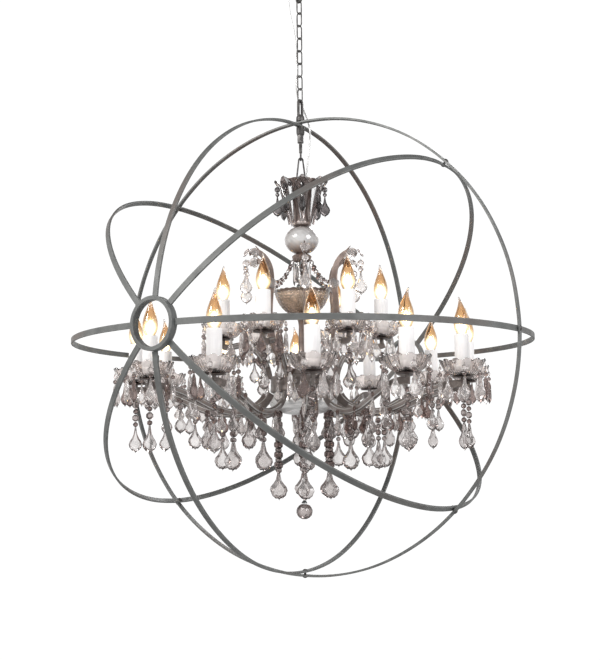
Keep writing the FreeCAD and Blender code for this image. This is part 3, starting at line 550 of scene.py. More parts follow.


# The colour after the scale in each metal goes on the marked corners: rubbed edges together with a painted edge
# highlight.
ORB_IRON = metal("orb_iron_paint", (0.082, 0.085, 0.083), (0.112, 0.116, 0.113), (0.155, 0.158, 0.154), 0.15, (0.46, 0.6), 14.0,
                 (0.170, 0.173, 0.168), 0.02, brown=(0.135, 0.108, 0.096), grain=0.06)
AGED_IRON = metal("aged_iron_paint", (0.035, 0.032, 0.031), (0.075, 0.070, 0.068), (0.13, 0.125, 0.12), 0.5, (0.35, 0.6), 60.0,
                  (0.24, 0.23, 0.22), 0.3)
STEEL = metal("zinc_steel", (0.40, 0.41, 0.42), (0.52, 0.53, 0.54), (0.62, 0.63, 0.64), 0.9, (0.3, 0.5), 80.0)
BRONZE = metal("brown_bronze", (0.095, 0.066, 0.056), (0.175, 0.128, 0.110), (0.31, 0.245, 0.218), 0.35, (0.24, 0.45), 34.0,
               (0.34, 0.27, 0.23), 0.22)
GREY_BRONZE = metal("grey_bronze", (0.085, 0.070, 0.064), (0.150, 0.126, 0.115), (0.25, 0.212, 0.192), 0.35, (0.24, 0.46), 34.0,
                    (0.33, 0.31, 0.29), 0.22)
DARK_BRONZE = metal("dark_bronze_disc", (0.048, 0.034, 0.030), (0.095, 0.070, 0.062), (0.15, 0.118, 0.105), 0.35, (0.3, 0.5), 60.0)
SILVER = metal("spun_silver", (0.62, 0.615, 0.61), (0.78, 0.775, 0.77), (0.90, 0.895, 0.89), 0.55, (0.24, 0.38), 24.0, None, 0.10, (1, 1, 9))
CROWN_METAL = metal("crown_metal", (0.14, 0.105, 0.095), (0.30, 0.24, 0.22), (0.62, 0.56, 0.53), 0.35, (0.14, 0.30), 60.0, (0.40, 0.34, 0.31), 0.12, (1, 1, 0.22))
STEM_METAL = metal("stem_metal", (0.07, 0.08, 0.08), (0.16, 0.17, 0.17), (0.34, 0.36, 0.36), 0.8, (0.2, 0.36), 60.0, None, 0.15, (1, 1, 0.3))
CRYSTAL = glass("cut_crystal", (0.975, 0.945, 0.933), (0.17, 0.122, 0.112), 0.04, 1.42, 0.5, dark=(0.25, 0.18, 0.165), through=0.90, crisp=True, cloudy=0.70)
BRIGHT_CRYSTAL = glass("bright_cut_crystal", (1.0, 0.975, 0.963), (0.52, 0.41, 0.38), 0.04, 1.42, 0.5, dark=(0.30, 0.215, 0.195), through=0.80, cloudy=0.84)
# The arm glass takes a light colour as its dark one: on the bars' marked corners it paints a light line, a painted
# highlight.
BAR_GLASS = glass("arm_bar_glass", (0.33, 0.285, 0.265), (0.16, 0.13, 0.118), 0.14, 1.5, 0.4, through=0.35, dark=(0.92, 0.90, 0.88), coat=0.8)
DISH_GLASS = glass("dish_glass", (0.97, 0.93, 0.91), (0.70, 0.62, 0.59), 0.03, 1.5, 0.3, 0.12, 220.0)
SMOKY_CRYSTAL = glass("smoky_crystal", (0.27, 0.245, 0.245), (0.03, 0.026, 0.026), 0.05, 1.45, 0.5, through=0.75, crisp=True, cloudy=0.5)
BALL_GLASS = glass("silvered_ball_glass", (0.90, 0.89, 0.885), (0.22, 0.17, 0.15), 0.12, 1.5, 0.45, 0.5, 46.0, dark=(0.46, 0.34, 0.29), through=0.42, coat=0.9, cloudy=0.82)
BOWL_GLASS = glass("brown_bowl_glass", (0.86, 0.68, 0.53), (0.18, 0.115, 0.085), 0.05, 1.5, 0.45, 1.0, 75.0, coat=0.6, cloudy=0.6, depth=0.004, through=0.80, dark=(0.16, 0.105, 0.08))


def plain(name, a, b_, rough, scale=120.0, metallic=0.0, pit=0.1, sss=0.0):
    m, nt, b = new_material(name)
    vec = coords(nt)
    fac = noise(nt, vec, scale, 3, 0.5)
    nt.links.new(ramp(nt, fac, [(0.3, a), (0.7, b_)]), b.inputs["Base Color"])
    nt.links.new(spread(nt, fac, rough * 0.85, rough * 1.15, 0.3, 0.7), b.inputs["Roughness"])
    b.inputs["Metallic"].default_value = metallic
    if sss:
        b.inputs["Subsurface Weight"].default_value = sss
        b.inputs["Subsurface Scale"].default_value = 0.01
    bump(nt, noise(nt, vec, scale * 6, 3, 0.5), pit, 0.0003, b)
    return m


def candle_material():
    """White resin candle: faint long streaks and faint spots."""
    m, nt, b = new_material("candle_white_resin")
    streak = noise(nt, coords(nt, (1, 1, 0.08)), 210.0, 4, 0.55)
    spots = noise(nt, coords(nt), 60.0, 4, 0.5)
    col = ramp(nt, streak, [(0.3, (0.86, 0.84, 0.84)), (0.7, (0.95, 0.935, 0.935))])
    col = mix(nt, 1.0, col, ramp(nt, spots, [(0.3, (0.96, 0.955, 0.95)), (0.7, (1, 1, 1))]), "MULTIPLY")
    nt.links.new(col, b.inputs["Base Color"])
    nt.links.new(spread(nt, spots, 0.45, 0.6, 0.3, 0.7), b.inputs["Roughness"])
    bump(nt, streak, 0.25, 0.0004, b)
    return m


def lamp_material():
    """Lamp glass. The mark runs from 0 at the cap to 1 at the tip: lit low down
    where the glass is looked through squarely, amber round that and towards the
    top, and clear grey at the very tip."""
    m, nt, b = new_material("amber_lamp_glass")
    mark = mark_of(nt)
    vec = coords(nt)
    streak = spread(nt, noise(nt, vec, 140.0, 3, 0.5), -0.05, 0.05)
    add = nt.nodes.new("ShaderNodeMath")
    add.operation = "ADD"
    nt.links.new(mark, add.inputs[0])
    nt.links.new(streak, add.inputs[1])
    level = add.outputs[0]
    lw = node(nt, "ShaderNodeLayerWeight", Blend=0.5)
    col = ramp(nt, level, [(0.0, (0.97, 0.92, 0.82)), (0.30, (0.95, 0.84, 0.66)), (0.45, (0.90, 0.70, 0.48)), (0.68, (0.86, 0.64, 0.44)), (0.84, (0.80, 0.66, 0.55)), (0.94, (0.84, 0.80, 0.78))])
    col = mix(nt, lw.outputs["Facing"], col, (0.46, 0.34, 0.25))
    nt.links.new(col, b.inputs["Base Color"])
    b.inputs["Transmission Weight"].default_value = 1.0
    b.inputs["Roughness"].default_value = 0.03
    b.inputs["IOR"].default_value = 1.45
    glow = ramp(nt, level, [(0.0, (0.12, 0.12, 0.12)), (0.09, (0.50, 0.50, 0.50)), (0.18, (1, 1, 1)), (0.28, (0.42, 0.42, 0.42)), (0.38, (0.08, 0.08, 0.08)), (0.50, (0.0, 0.0, 0.0))])
    middle = ramp(nt, lw.outputs["Facing"], [(0.03, (1, 1, 1)), (0.20, (0.40, 0.40, 0.40)), (0.46, (0.0, 0.0, 0.0))])
    tint = ramp(nt, lw.outputs["Facing"], [(0.05, (1.0, 0.90, 0.66)), (0.35, (1.0, 0.66, 0.28))])
    nt.links.new(tint, b.inputs["Emission Color"])
    nt.links.new(times(nt, times(nt, glow, middle), 1.5), b.inputs["Emission Strength"])
    return m


def glow_material():
    m, nt, b = new_material("filament_glow")
    fac = noise(nt, coords(nt), 300.0, 2, 0.5)
    nt.links.new(ramp(nt, fac, [(0.3, (1.0, 0.80, 0.45)), (0.7, (1.0, 0.9, 0.65))]), b.inputs["Base Color"])
    b.inputs["Emission Color"].default_value = (1.0, 0.80, 0.45, 1)
    nt.links.new(spread(nt, fac, 7.0, 10.0, 0.3, 0.7), b.inputs["Emission Strength"])
    return m


def cord_material():
    """Clear jacket over silver strands: fine slanting lines of light and shade."""
    m, nt, b = new_material("clear_cord_jacket")
    w = node(nt, "ShaderNodeTexWave", Scale=260.0, Distortion=1.5, Detail=2.0)
    w.bands_direction = "DIAGONAL"
    nt.links.new(coords(nt), w.inputs["Vector"])
    nt.links.new(ramp(nt, w.outputs["Fac"], [(0.2, (0.42, 0.41, 0.40)), (0.6, (0.72, 0.72, 0.71)), (0.9, (0.86, 0.86, 0.86))]), b.inputs["Base Color"])
    nt.links.new(spread(nt, w.outputs["Fac"], 0.22, 0.34), b.inputs["Roughness"])
    b.inputs["Metallic"].default_value = 0.25
    b.inputs["Coat Weight"].default_value = 0.7
    b.inputs["Coat Roughness"].default_value = 0.08
    bump(nt, w.outputs["Fac"], 0.2, 0.0003, b)
    return m


CANDLE = candle_material()
LAMP = lamp_material()
GLOW = glow_material()
CORD = cord_material()
BLACK = plain("black_resin", (0.018, 0.018, 0.018), (0.035, 0.034, 0.033), 0.5)
CAP = plain("lamp_cap_plate", (0.50, 0.42, 0.26), (0.64, 0.56, 0.38), 0.35, 160.0, 0.9)
NYLON = plain("clear_nylon", (0.62, 0.62, 0.61), (0.74, 0.74, 0.73), 0.4)
WIRE = plain("silver_wire", (0.16, 0.14, 0.13), (0.30, 0.27, 0.25), 0.3, 300.0, 0.9)


def put(build, name, material, body, nodes=(), smooth=None):
    """Makes a piece that stands for CAD nodes, which it hides, and rides on a
    body with the material it is given."""
    obj = build.make(name, material, smooth)
    if nodes:
        nodes = (nodes,) if isinstance(nodes, str) else nodes
        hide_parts(*nodes)
    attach(obj, body)
    return obj


def paint(material, *nodes):
    """A CAD node whose shape is right keeps it and takes this material."""
    for n in nodes:
        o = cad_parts[n]
        if not o.material_slots:
            o.data.materials.append(material)
        for s in o.material_slots:
            s.material = material


paint(STEEL, "ceiling_plate", "loop_nuts", "centre_tube")
paint(BLACK, "terminal_block", "crown_terminal", "lampholders", "wiring_loom")
paint(NYLON, "cord_bushing")
paint(CAP, "bulb_caps")
paint(AGED_IRON, "coupling_nut", "canopy_collar")
paint(GREY_BRONZE, "crook_hub")

# --------------------------------------------------------------------- camera
cam_data = bpy.data.cameras.new("camera")
cam_data.sensor_width = 36.0
cam_data.lens = 55.8766
cam_data.clip_end = 100.0
cam = bpy.data.objects.new("camera", cam_data)
look = Matrix(((0.8373954, 0.0676126, 0.5423997), (0.5464979, -0.0846168, -0.8331746), (-0.010437, 0.994117, -0.1078079)))
cam.matrix_world = Matrix.Translation(Vector((1.355147, -2.093209, -1.171822))) @ look.to_4x4()
bpy.context.scene.collection.objects.link(cam)
bpy.context.scene.camera = cam

# ---------------------------------------------------------------------- cord
RIGHT = np.array([math.cos(math.radians(VIEW_AZ)), math.sin(math.radians(VIEW_AZ)), 0])
FRONT = np.array([math.sin(math.radians(VIEW_AZ)), -math.cos(math.radians(VIEW_AZ)), 0])
CORD_D = 4.6
ROUTES = {
    "cord_upper": [(-27, 0, 890.5), (-27, 0, 864), (-22.0, 0.3, 829), (-14, -0.8, 795), (-9.3, -0.4, 757), (-8.4, 0.2, 722)],
    "cord_middle": [(-8.4, 0.2, 722), (-7.63, 0.714, 692), (-10.0, -4.0, 658), (-8.0, -12.0, 630), (2.0, -15.5, 606), (13.0, -13.0, 583), (20.0, -8.5, 558)],
    "cord_lower": [(20.0, -8.5, 558), (24.2, -5.8, 543), (23.8, -5.6, 512), (21.0, -6.4, 480), (17.0, -7.4, 448), (14.0, -7.0, 416), (12.8, -5.2, 384), (13.2, -3.0, 352), (13.2, -3.0, 336.05)],
}
CORD_BODIES = {
    "cord_upper": ("ceiling", "chain", (0, 0, -0.0654), (0, 0, -0.16)),
    "cord_middle": ("chain", "orb", (0, 0, -0.2500), (0, 0, -0.3600)),
    "cord_lower": ("orb", "chandelier", (0, 0, -0.4300), (0, 0, -0.5300)),
}


def route_point(p):
    return RIGHT * p[0] + FRONT * p[1] + np.array([0, 0, ZC + p[2]])


def nurbs_points(points):
    curve = bpy.data.curves.new("route", "CURVE")
    curve.dimensions = "3D"
    curve.resolution_u = 10
    s = curve.splines.new("NURBS")
    s.points.add(len(points) - 1)
    for p, q in zip(s.points, points):
        p.co = (*(q * 0.001), 1)
    s.order_u = 3
    s.use_endpoint_u = True
    o = bpy.data.objects.new("route", curve)
    bpy.context.scene.collection.objects.link(o)
    bpy.context.view_layer.update()
    mesh = bpy.data.meshes.new_from_object(o)
    out = np.array([v.co[:] for v in mesh.vertices])
    bpy.data.objects.remove(o)
    bpy.data.curves.remove(curve)
    bpy.data.meshes.remove(mesh)
    return out


for cord_name, route in ROUTES.items():
    line = nurbs_points([route_point(p) for p in route])
    a, b, start, end = CORD_BODIES[cord_name]
    piece = Build().add(tube(line * 1000, CORD_D / 2, 16)).make(cord_name + "_line", CORD, 60)
    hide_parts(cord_name)
    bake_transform(piece)

# ------------------------------------------------------------------- ceiling
canopy_out = spline([(75.0, -1.0), (74.0, -11.0), (67.0, -22.0), (50.0, -32.0), (34.0, -38.0), (16.0, -41.4)], 30)
canopy_in = spline([(73.8, -1.0), (72.8, -10.8), (66.0, -21.2), (49.5, -30.8), (34.0, -36.8), (16.0, -40.2)], 30)
put(Build().add(lathe([tuple(p) for p in canopy_out] + [tuple(p) for p in canopy_in[::-1]], 96)), "canopy_cup_shell", ORB_IRON, "ceiling", "canopy_cup", 40)
loop_shape = Build().add(tube(link_line(22, 22, 22.6, 3.0), 3.0, 14, True), facing(CHAIN_AZ, 0, 0, -65.4 - 3.0 + 11.3))
threads = [(0, -0.5)] + [(8.0 - (0.35 if i % 2 else 0.0), -0.5 - 0.75 * i) for i in range(0, 60)] + [(8.0, -48.4), (0, -48.4)]
loop_shape.add(lathe(threads, 32))
put(loop_shape, "ceiling_loop_forged", AGED_IRON, "ceiling", "ceiling_loop", 35)

# --------------------------------------------------------------------- chain
c1 = -65.4 + 3.0 + 0.3 + 1.6 - (39.6 / 2 - 1.6)
chain = Build()
link = link_line(18.5, 18.5, 39.6, 1.6, 16)
weld = np.array([1.6 * (1 + 0.16 * math.exp(-((i - 18.5) / 1.1) ** 2)) for i in range(len(link))])
for k in range(8):
    chain.add(tube(link, weld, 12, True), facing(CHAIN_AZ + (90 if k % 2 == 0 else 0), 0, 0, c1 - 33.0 * k))
put(chain, "chain_links_wire", AGED_IRON, "chain", "chain_links", 50)

# ----------------------------------------------------------- orb: hanging stack
EYE_Z = -322.5
R_CROSS, R_MERIDIAN, R_EQUATOR, R_DIAGONAL = 556.0, 546.0, 550.5, 547.5
BAR_W, BAR_T, HUB_R, HUB_FACE, HUB_DEEP = 13.0, 5.0, 55.5, 8.5, 18.0
pole_out, pole_in = ZC + R_CROSS + 2.5, ZC + R_MERIDIAN - 2.5
eye = Build().add(tube(link_line(20, 20, 50, 3.5, 18), 3.5, 14, True), facing(CHAIN_AZ + 90, 0, 0, EYE_Z + 3.5 - 25))
boss_top = EYE_Z + 3.5 - 50 + 9
boss = [(0, pole_out + 0.02), (10.5, pole_out + 0.02), (10.6, pole_out + 3), (10.2, boss_top - 6), (8.8, boss_top - 3), (6.5, boss_top), (4.0, boss_top + 0.6), (0, boss_top + 0.6)]
eye.add(lathe(boss, 32)).add(lathe([(0, ZC + 513.2), (4.7, ZC + 513.2), (5.0, ZC + 514), (5.0, pole_out + 1), (0, pole_out + 1)], 24))
put(eye, "top_eye_forged", AGED_IRON, "orb", "top_eye", 40)
block = [(5.05, ZC + 522), (8.0, ZC + 522), (9.0, ZC + 523.6), (10.2, ZC + 528), (10.2, pole_in - 0.9), (9.5, pole_in - 0.15), (5.05, pole_in - 0.15)]
put(Build().add(lathe(block, 32)), "pole_block_turned", AGED_IRON, "orb", "pole_block", 35)
low = Build().add(tube(link_line(15, 15, 24, 2.4, 14), 2.4, 12, True), facing(VIEW_AZ - 90, 0, 0, ZC + 457.0 + 12))
low.add(lathe([(0, ZC + 477.5), (4.2, ZC + 477.5), (4.2, ZC + 502.0), (5.0, ZC + 503.4), (5.0, ZC + 512.8), (0, ZC + 512.8)], 24))
put(low, "lower_eye_forged", AGED_IRON, "orb", "lower_eye", 40)


# ---------------------------------------------------------------- orb: rings
def forged(phase, amp=0.45):
    """The small unevenness of a hand-bent bar, as a radial offset."""
    return lambda t: amp * (math.sin(3 * t + phase) + 0.6 * math.sin(7 * t + 2.1 * phase) + 0.4 * math.sin(17 * t + 0.7 * phase))


def ring_arc(radius, side, phase, start=None):
    """A bar from one hub ring to the other. side is the unit direction half way."""
    hub = np.array([0, -1.0, 0])
    side = np.array(side, float)
    a0 = math.asin((HUB_R + 0.15) / radius)
    t = np.linspace(a0, math.pi - a0, 121)
    f = forged(phase)
    fade = np.sin((t - a0) / (math.pi - 2 * a0) * math.pi)
    near = np.abs(t - math.pi / 2)
    calm = np.clip((near - 0.05) / 0.12, 0, 1)
    rad = radius + np.array([f(x) for x in t]) * fade * calm
    d = np.cos(t)[:, None] * hub + np.sin(t)[:, None] * side
    line = d * rad[:, None] + np.array([0, 0, ZC])
    wide = np.tile(np.cross(hub, side), (len(t), 1))
    return bar(line, wide, d, BAR_W, BAR_T)


S = math.sqrt(0.5)
for name, radius, sides, ph in (
    ("equator_arcs", R_EQUATOR, ((1, 0, 0), (-1, 0, 0)), 0.3),
    ("meridian_arcs", R_MERIDIAN, ((0, 0, 1), (0, 0, -1)), 1.7),
    ("diagonal_arcs_left", R_DIAGONAL, ((S, 0, -S), (-S, 0, S)), 2.9),
    ("diagonal_arcs_right", R_DIAGONAL, ((S, 0, S), (-S, 0, -S)), 4.1),
):
    b = Build()
    for i, side in enumerate(sides):
        b.add(ring_arc(radius, side, ph + i))
    put(b, name + "_bar", ORB_IRON, "orb", name, 30)

t = np.arange(240) * 2 * math.pi / 240
f = forged(5.2)
calm = np.clip((np.abs(np.sin(4 * t)) - 0.1) / 0.3, 0, 1)
d = np.stack([np.cos(t), np.zeros(240), np.sin(t)], 1)
line = d * (R_CROSS + np.array([f(x) for x in t]) * calm)[:, None] + np.array([0, 0, ZC])
put(Build().add(bar(line, np.tile([0, 1.0, 0], (240, 1)), d, BAR_W, BAR_T, closed=True)), "cross_ring_bar", ORB_IRON, "orb", "cross_ring", 30)

hub_mid = math.sqrt(R_DIAGONAL ** 2 - HUB_R ** 2) + 4.0
ro, ri, hd = HUB_R, HUB_R - HUB_FACE, HUB_DEEP / 2
hub_profile = [(ri + 0.9, hd), (ri + 3, hd), (ro - 3, hd), (ro - 0.9, hd), (ro, hd - 0.9), (ro, hd - 3), (ro, -hd + 3), (ro, -hd + 0.9), (ro - 0.9, -hd), (ro - 3, -hd), (ri + 3, -hd), (ri + 0.9, -hd),
               (ri, -hd + 0.9), (ri, -hd + 3), (ri, hd - 3), (ri, hd - 0.9)]
# The hub rings' corners are marked: rubbed edges together with a painted edge highlight.
hub_marks = [1, 0, 0, 1, 1, 0, 0, 1, 1, 0, 0, 1, 1, 0, 0, 1]
hubs = Build()
for sign in (-1, 1):
    hubs.add(lathe(hub_profile, 96, marks=hub_marks), shift(0, sign * hub_mid, ZC) @ turn((1, 0, 0), 90))
put(hubs, "hub_rings_bar", ORB_IRON, "orb", "hub_rings", 30)

rivets = Build()
for u, radius in (((1, 0, 0), R_EQUATOR), ((-1, 0, 0), R_EQUATOR), ((S, 0, S), R_DIAGONAL), ((-S, 0, -S), R_DIAGONAL), ((-S, 0, S), R_DIAGONAL), ((S, 0, -S), R_DIAGONAL), ((0, 0, -1), R_MERIDIAN)):
    lo, hi = radius - 2.6, R_CROSS + 2.5
    prof = [(0, lo - 3.2), (2.0, lo - 3.05), (3.8, lo - 2.4), (5.3, lo - 1.3), (6.2, lo), (2.9, lo), (2.9, hi), (6.2, hi), (5.3, hi + 1.3), (3.8, hi + 2.4), (2.0, hi + 3.05), (0, hi + 3.2)]
    z = Vector((0, 0, 1)).rotation_difference(Vector(u)).to_matrix().to_4x4()
    rivets.add(lathe(prof, 24), shift(0, 0, ZC) @ np.array(z))
put(rivets, "ring_rivets_head", AGED_IRON, "orb", "ring_rivets", 40)

# -------------------------------------------------- chandelier: hanging links
hang_top, hang_low = -475.6 + 2.4 + 0.3 + 2.1, ZC + 407.5
hang_len = hang_top - hang_low + 4.2
put(Build().add(tube(link_line(24, 14.2, hang_len, 2.1, 18), 2.1, 12, True), facing(VIEW_AZ, 0, 0, (hang_top + hang_low) / 2)), "hanging_link_wire", AGED_IRON, "chandelier", "hanging_link", 50)
loop_top = hang_low + 2.1 + 2.5 + 0.1
loop2_low = loop_top + 2.5 - 26.0
TUBE_TOP = loop2_low - 2.0
cl = Build().add(tube(link_line(18, 18, 26, 2.5, 16), 2.5, 12, True), facing(VIEW_AZ - 90, 0, 0, loop_top + 2.5 - 13))
cl.add(lathe([(0, TUBE_TOP - 14), (4.9, TUBE_TOP - 14), (4.95, TUBE_TOP + 0.05), (6.0, TUBE_TOP + 0.05), (6.0, loop2_low + 2.5), (5.0, loop2_low + 3.5), (0, loop2_low + 3.5)], 24))
put(cl, "column_loop_forged", AGED_IRON, "chandelier", "column_loop", 40)

# ---------------------------------------------------------- chandelier: crown
G = 7.05


def z_of(points):
    return [(r, ZC + h) for r, h in points]


def shell(outer, inner, count, n=96, wave=None, extra=()):
    """A thin turned shell between two splined profiles. wave gets the height."""
    o = [tuple(p) for p in spline(z_of(outer), count)]
    i = [tuple(p) for p in spline(z_of(inner), count)]
    return lathe(o + i[::-1] + list(extra), n, wave)


def flutes(n, amount, low, high, sharp=1.0):
    """Radial flutes that grow from height low to height high."""
    def wave(th, r, z, i):
        k = np.clip((z - ZC - low) / (high - low), 0, 1)
        c = np.abs(np.cos(n * th / 2)) ** sharp
        return r * (1 + amount * k * (c - 0.5) * 2), z
    return wave


crown_o = [(13.0, 292.0), (21.5, 294.0), (19.5, 312.0), (22.0, 335.0), (29.0, 360.0), (38.0, 384.0), (47.5, 404.0)]
crown_i = [(13.0, 293.6), (19.8, 295.6), (17.9, 312.4), (20.4, 335.4), (27.4, 360.8), (36.5, 384.8), (46.2, 405.0)]


def crown_wave(th, r, z, i):
    k = np.clip((z - ZC - 296) / 100, 0, 1) ** 0.7
    c = np.abs(np.sin(8 * th))
    return r * (1 + 0.055 * (0.25 + k) * (c - 0.6)), z


crown = Build().add(shell(crown_o, crown_i, 40, 192, crown_wave))
crown.add(lathe(z_of([(G, 292.0), (14.0, 292.0), (14.0, 293.6), (G, 293.6)]), 48))
put(crown, "crown_cup_fluted", CROWN_METAL, "chandelier", "crown_cup", 50)


def petal(width_scale=1.0):
    """A glass plate: wide and rounded at its top, which curls outwards, with a
    thick bright edge."""
    rows, cols = 26, 10
    hw = [(0.0, 2.5), (0.12, 4.6), (0.3, 8.6), (0.6, 14.0), (0.82, 18.0), (0.93, 14.0), (1.0, 4.0)]
    v, f = [], []
    idx = {}
    for s in (0, 1):
        for i in range(rows + 1):
            u = i / rows
            w = float(np.interp(u, [a for a, _ in hw], [b for _, b in hw])) * width_scale
            z = 117.0 * u
            curl = 8.0 * max(0.0, (u - 0.72) / 0.28) ** 2 - 2.0 * math.sin(math.pi * u)
            for k in range(cols + 1):
                c = -1 + 2 * k / cols
                thick = 3.4 * (0.45 + 0.55 * abs(c) ** 3)
                x = curl + 3.2 * (c * c) + (thick / 2 if s else -thick / 2) + 1.5
                zz = z - (2.5 * c * c if u > 0.9 else 0)
                idx[(s, i, k)] = len(v)
                v.append((x, w * c, zz))
    for s in (0, 1):
        for i in range(rows):
            for k in range(cols):
                q = (idx[(s, i, k)], idx[(s, i, k + 1)], idx[(s, i + 1, k + 1)], idx[(s, i + 1, k)])
                f.append(q if s else q[::-1])
    edge = [(i, 0) for i in range(rows + 1)] + [(rows, k) for k in range(1, cols + 1)] + [(i, cols) for i in range(rows - 1, -1, -1)] + [(0, k) for k in range(cols - 1, 0, -1)]
    for p, q in zip(edge, edge[1:] + edge[:1]):
        f.append((idx[(0, *p)], idx[(0, *q)], idx[(1, *q)], idx[(1, *p)]))
    return outward((np.array(v, float), f, np.zeros(len(v))))


LEAN = 14.0
petals = Build()
one_petal = petal()
for k in range(8):
    petals.add(one_petal, about(DELTA + 45 * k) @ shift(25.5, 0, ZC + 297) @ turn((0, 1, 0), LEAN), 0.42)
put(petals, "crown_petals_glass", CRYSTAL, "chandelier", "crown_petals", 45)

# ------------------------------------------------- chandelier: ball and column
ball_o = [(12.0, 34.3), (24.0, 29.4), (34.5, 20.3), (40.5, 9.5), (42.0, 0.0), (40.5, -9.5), (34.5, -20.3), (24.0, -29.4), (12.0, -34.3)]
ball_i = [(12.0, 31.2), (22.8, 26.6), (32.2, 18.4), (37.6, 8.7), (38.9, 0.0), (37.6, -8.7), (32.2, -18.4), (22.8, -26.6), (12.0, -31.2)]


def ball_wave(th, r, z, i):
    swirl = (z - ZC - 256) * 0.028
    return r * (1 + 0.006 * np.cos(18 * (th + swirl))), z


ball_v, ball_f, _ = shell([(r, 256 + z) for r, z in ball_o], [(r, 256 + z) for r, z in ball_i], 48, 144, ball_wave)
# The mark makes the ball darker and browner towards its bottom.
ball_marks = np.clip((ZC + 250.0 - ball_v[:, 2]) / 24.0, 0, 1)
put(Build().add((ball_v, ball_f, ball_marks)), "glass_ball_blown", BALL_GLASS, "chandelier", "glass_ball", 60)


def scallop(n, amount):
    return lambda th, r, z, i: (r * (1 + amount * np.cos(n * th) * (r > 14)), z)


caps = Build()
caps.add(lathe(z_of([(G, 291.9), (19.6, 291.9), (20.2, 291.5), (18.0, 291.0), (14.5, 290.6), (G, 290.6)]), 72, scallop(12, 0.03)))
caps.add(lathe(z_of([(G, 221.4), (13.0, 221.4), (19.0, 219.6), (23.0, 216.4), (22.0, 211.5), (20.0, 206.5), (17.0, 202.4), (14.0, 201.0), (G, 201.0)]), 96, scallop(12, 0.06)))
put(caps, "ball_caps_cast", BRONZE, "chandelier", "ball_caps", 40)
stem_pts = spline(z_of([(10.0, 200.9), (9.0, 190.0), (8.6, 160.0), (11.0, 146.0), (14.0, 140.0), (14.0, 136.0)]), 24)
put(Build().add(lathe([tuple(p) for p in stem_pts] + z_of([(G, 136.0), (G, 200.9)]), 64, lambda th, r, z, i: (np.where(r > 8, r * (1 + 0.03 * np.cos(8 * th)), r), z))), "stem_cover_turned", STEM_METAL, "chandelier", "stem_cover", 40)
bowl_o = [(12.0, 68.0), (25.0, 70.5), (43.0, 81.0), (57.0, 98.0), (64.5, 115.0), (68.0, 130.0)]
bowl_i = [(12.0, 70.4), (24.5, 73.0), (41.5, 83.0), (54.9, 99.4), (62.2, 115.8), (65.4, 130.0)]


def bowl_wave(th, r, z, i):
    k = np.clip((r - 18) / 40, 0, 1)
    ripple = 0.45 * k * np.sin((z - ZC) * 0.95 + 1.6 * np.sin(5 * th) + 0.8 * np.sin(11 * th))
    return r * (1 + 0.022 * k * (np.abs(np.cos(12 * th)) - 0.5)) + ripple, z + 0.8 * k ** 6 * np.cos(24 * th)


bowl_v, bowl_f, _ = shell(bowl_o, bowl_i, 72, 192, bowl_wave)
bowl = Build().add((bowl_v, bowl_f, np.clip((bowl_v[:, 2] - ZC - 120.0) / 4.0, 0, 1)))
bowl.add(lathe(z_of([(G, 68.0), (12.5, 68.0), (12.5, 70.4), (G, 70.4)]), 48))
put(bowl, "top_bowl_fluted", BOWL_GLASS, "chandelier", "top_bowl", 50)
spacer = spline(z_of([(16.0, 67.9), (12.0, 58.0), (10.0, 20.0), (12.0, -20.0), (18.0, -50.0), (18.0, -60.9)]), 30)
put(Build().add(lathe([tuple(p) for p in spacer] + z_of([(G, -60.9), (G, 67.9)]), 64)), "bowl_spacer_turned", BRONZE, "chandelier", "bowl_spacer", 40)
hub_pts = z_of([(G, -80.0), (60.0, -80.0), (77.0, -80.4), (79.2, -81.6), (80.0, -84.0), (80.0, -88.0), (79.0, -90.0), (79.0, -110.0), (80.0, -112.0), (80.0, -117.0), (79.2, -119.0), (77.0, -120.0), (G, -120.0)])
put(Build().add(lathe(hub_pts, 96)), "arm_hub_cast", GREY_BRONZE, "chandelier", "arm_hub", 35)
dish_o = [(74.0, -121.0), (80.0, -132.0), (82.0, -146.0), (76.0, -157.0), (56.0, -167.5), (32.0, -172.5), (12.0, -173.5)]
dish_i = [(72.5, -121.0), (78.4, -132.2), (80.3, -145.6), (74.8, -155.6), (55.4, -165.9), (31.8, -170.9), (12.0, -171.9)]
dish = Build().add(shell(dish_o, dish_i, 36, 128))
dish.add(lathe(z_of([(G, -173.5), (12.5, -173.5), (12.5, -171.9), (G, -171.9)]), 48))
put(dish, "hub_dish_spun", SILVER, "chandelier", "hub_dish", 50)
DROP = -196.0
nut = Build().add(lathe(z_of([(0, -190.0), (4.6, -190.0), (6.6, -188.8), (9.0, -187.0), (9.5, -185.6), (9.5, -173.6), (G, -173.6), (G, -181.2), (0, -181.2)]), 32))
nut.add(tube(link_line(10, 10, 16, 1.2, 12), 1.2, 10, True), facing(VIEW_AZ - 90, 0, 0, ZC + DROP + 8 - 1.2))
put(nut, "dish_nut_turned", BRONZE, "chandelier", "dish_nut", 40)

# ------------------------------------------------------------------ the arms
CROOK = [(27.5, -70.0), (42.0, -62.0), (57.0, -42.0), (78.0, -8.0), (90.0, 32.0), (93.0, 75.0), (90.0, 120.0), (88.0, 155.0), (92.0, 182.0), (105.0, 203.0), (125.0, 215.0), (148.0, 208.0)]
UPPER_ARM = [(82.5, -104.0), (82.0, -84.0), (91.0, -50.0), (112.0, -20.0), (140.0, -4.0), (166.0, -6.0), (182.0, -9.0), (201.0, -4.0)]
LOWER_ARM = [(82.0, -94.0), (88.0, -118.0), (106.0, -144.0), (138.0, -162.0), (184.0, -170.0), (232.0, -163.0), (282.0, -142.0), (330.0, -122.0), (372.0, -112.0), (412.0, -112.0)]
LOWER_R, LOWER_T, LOWER_N = 405.0, 0.0, 12
UPPER_R, UPPER_T, UPPER_N = 194.0, 108.0, 6


def taper_tip(s):
    return 1.0 if s < 0.86 else 1.0 - 0.45 * ((s - 0.86) / 0.14) ** 1.5


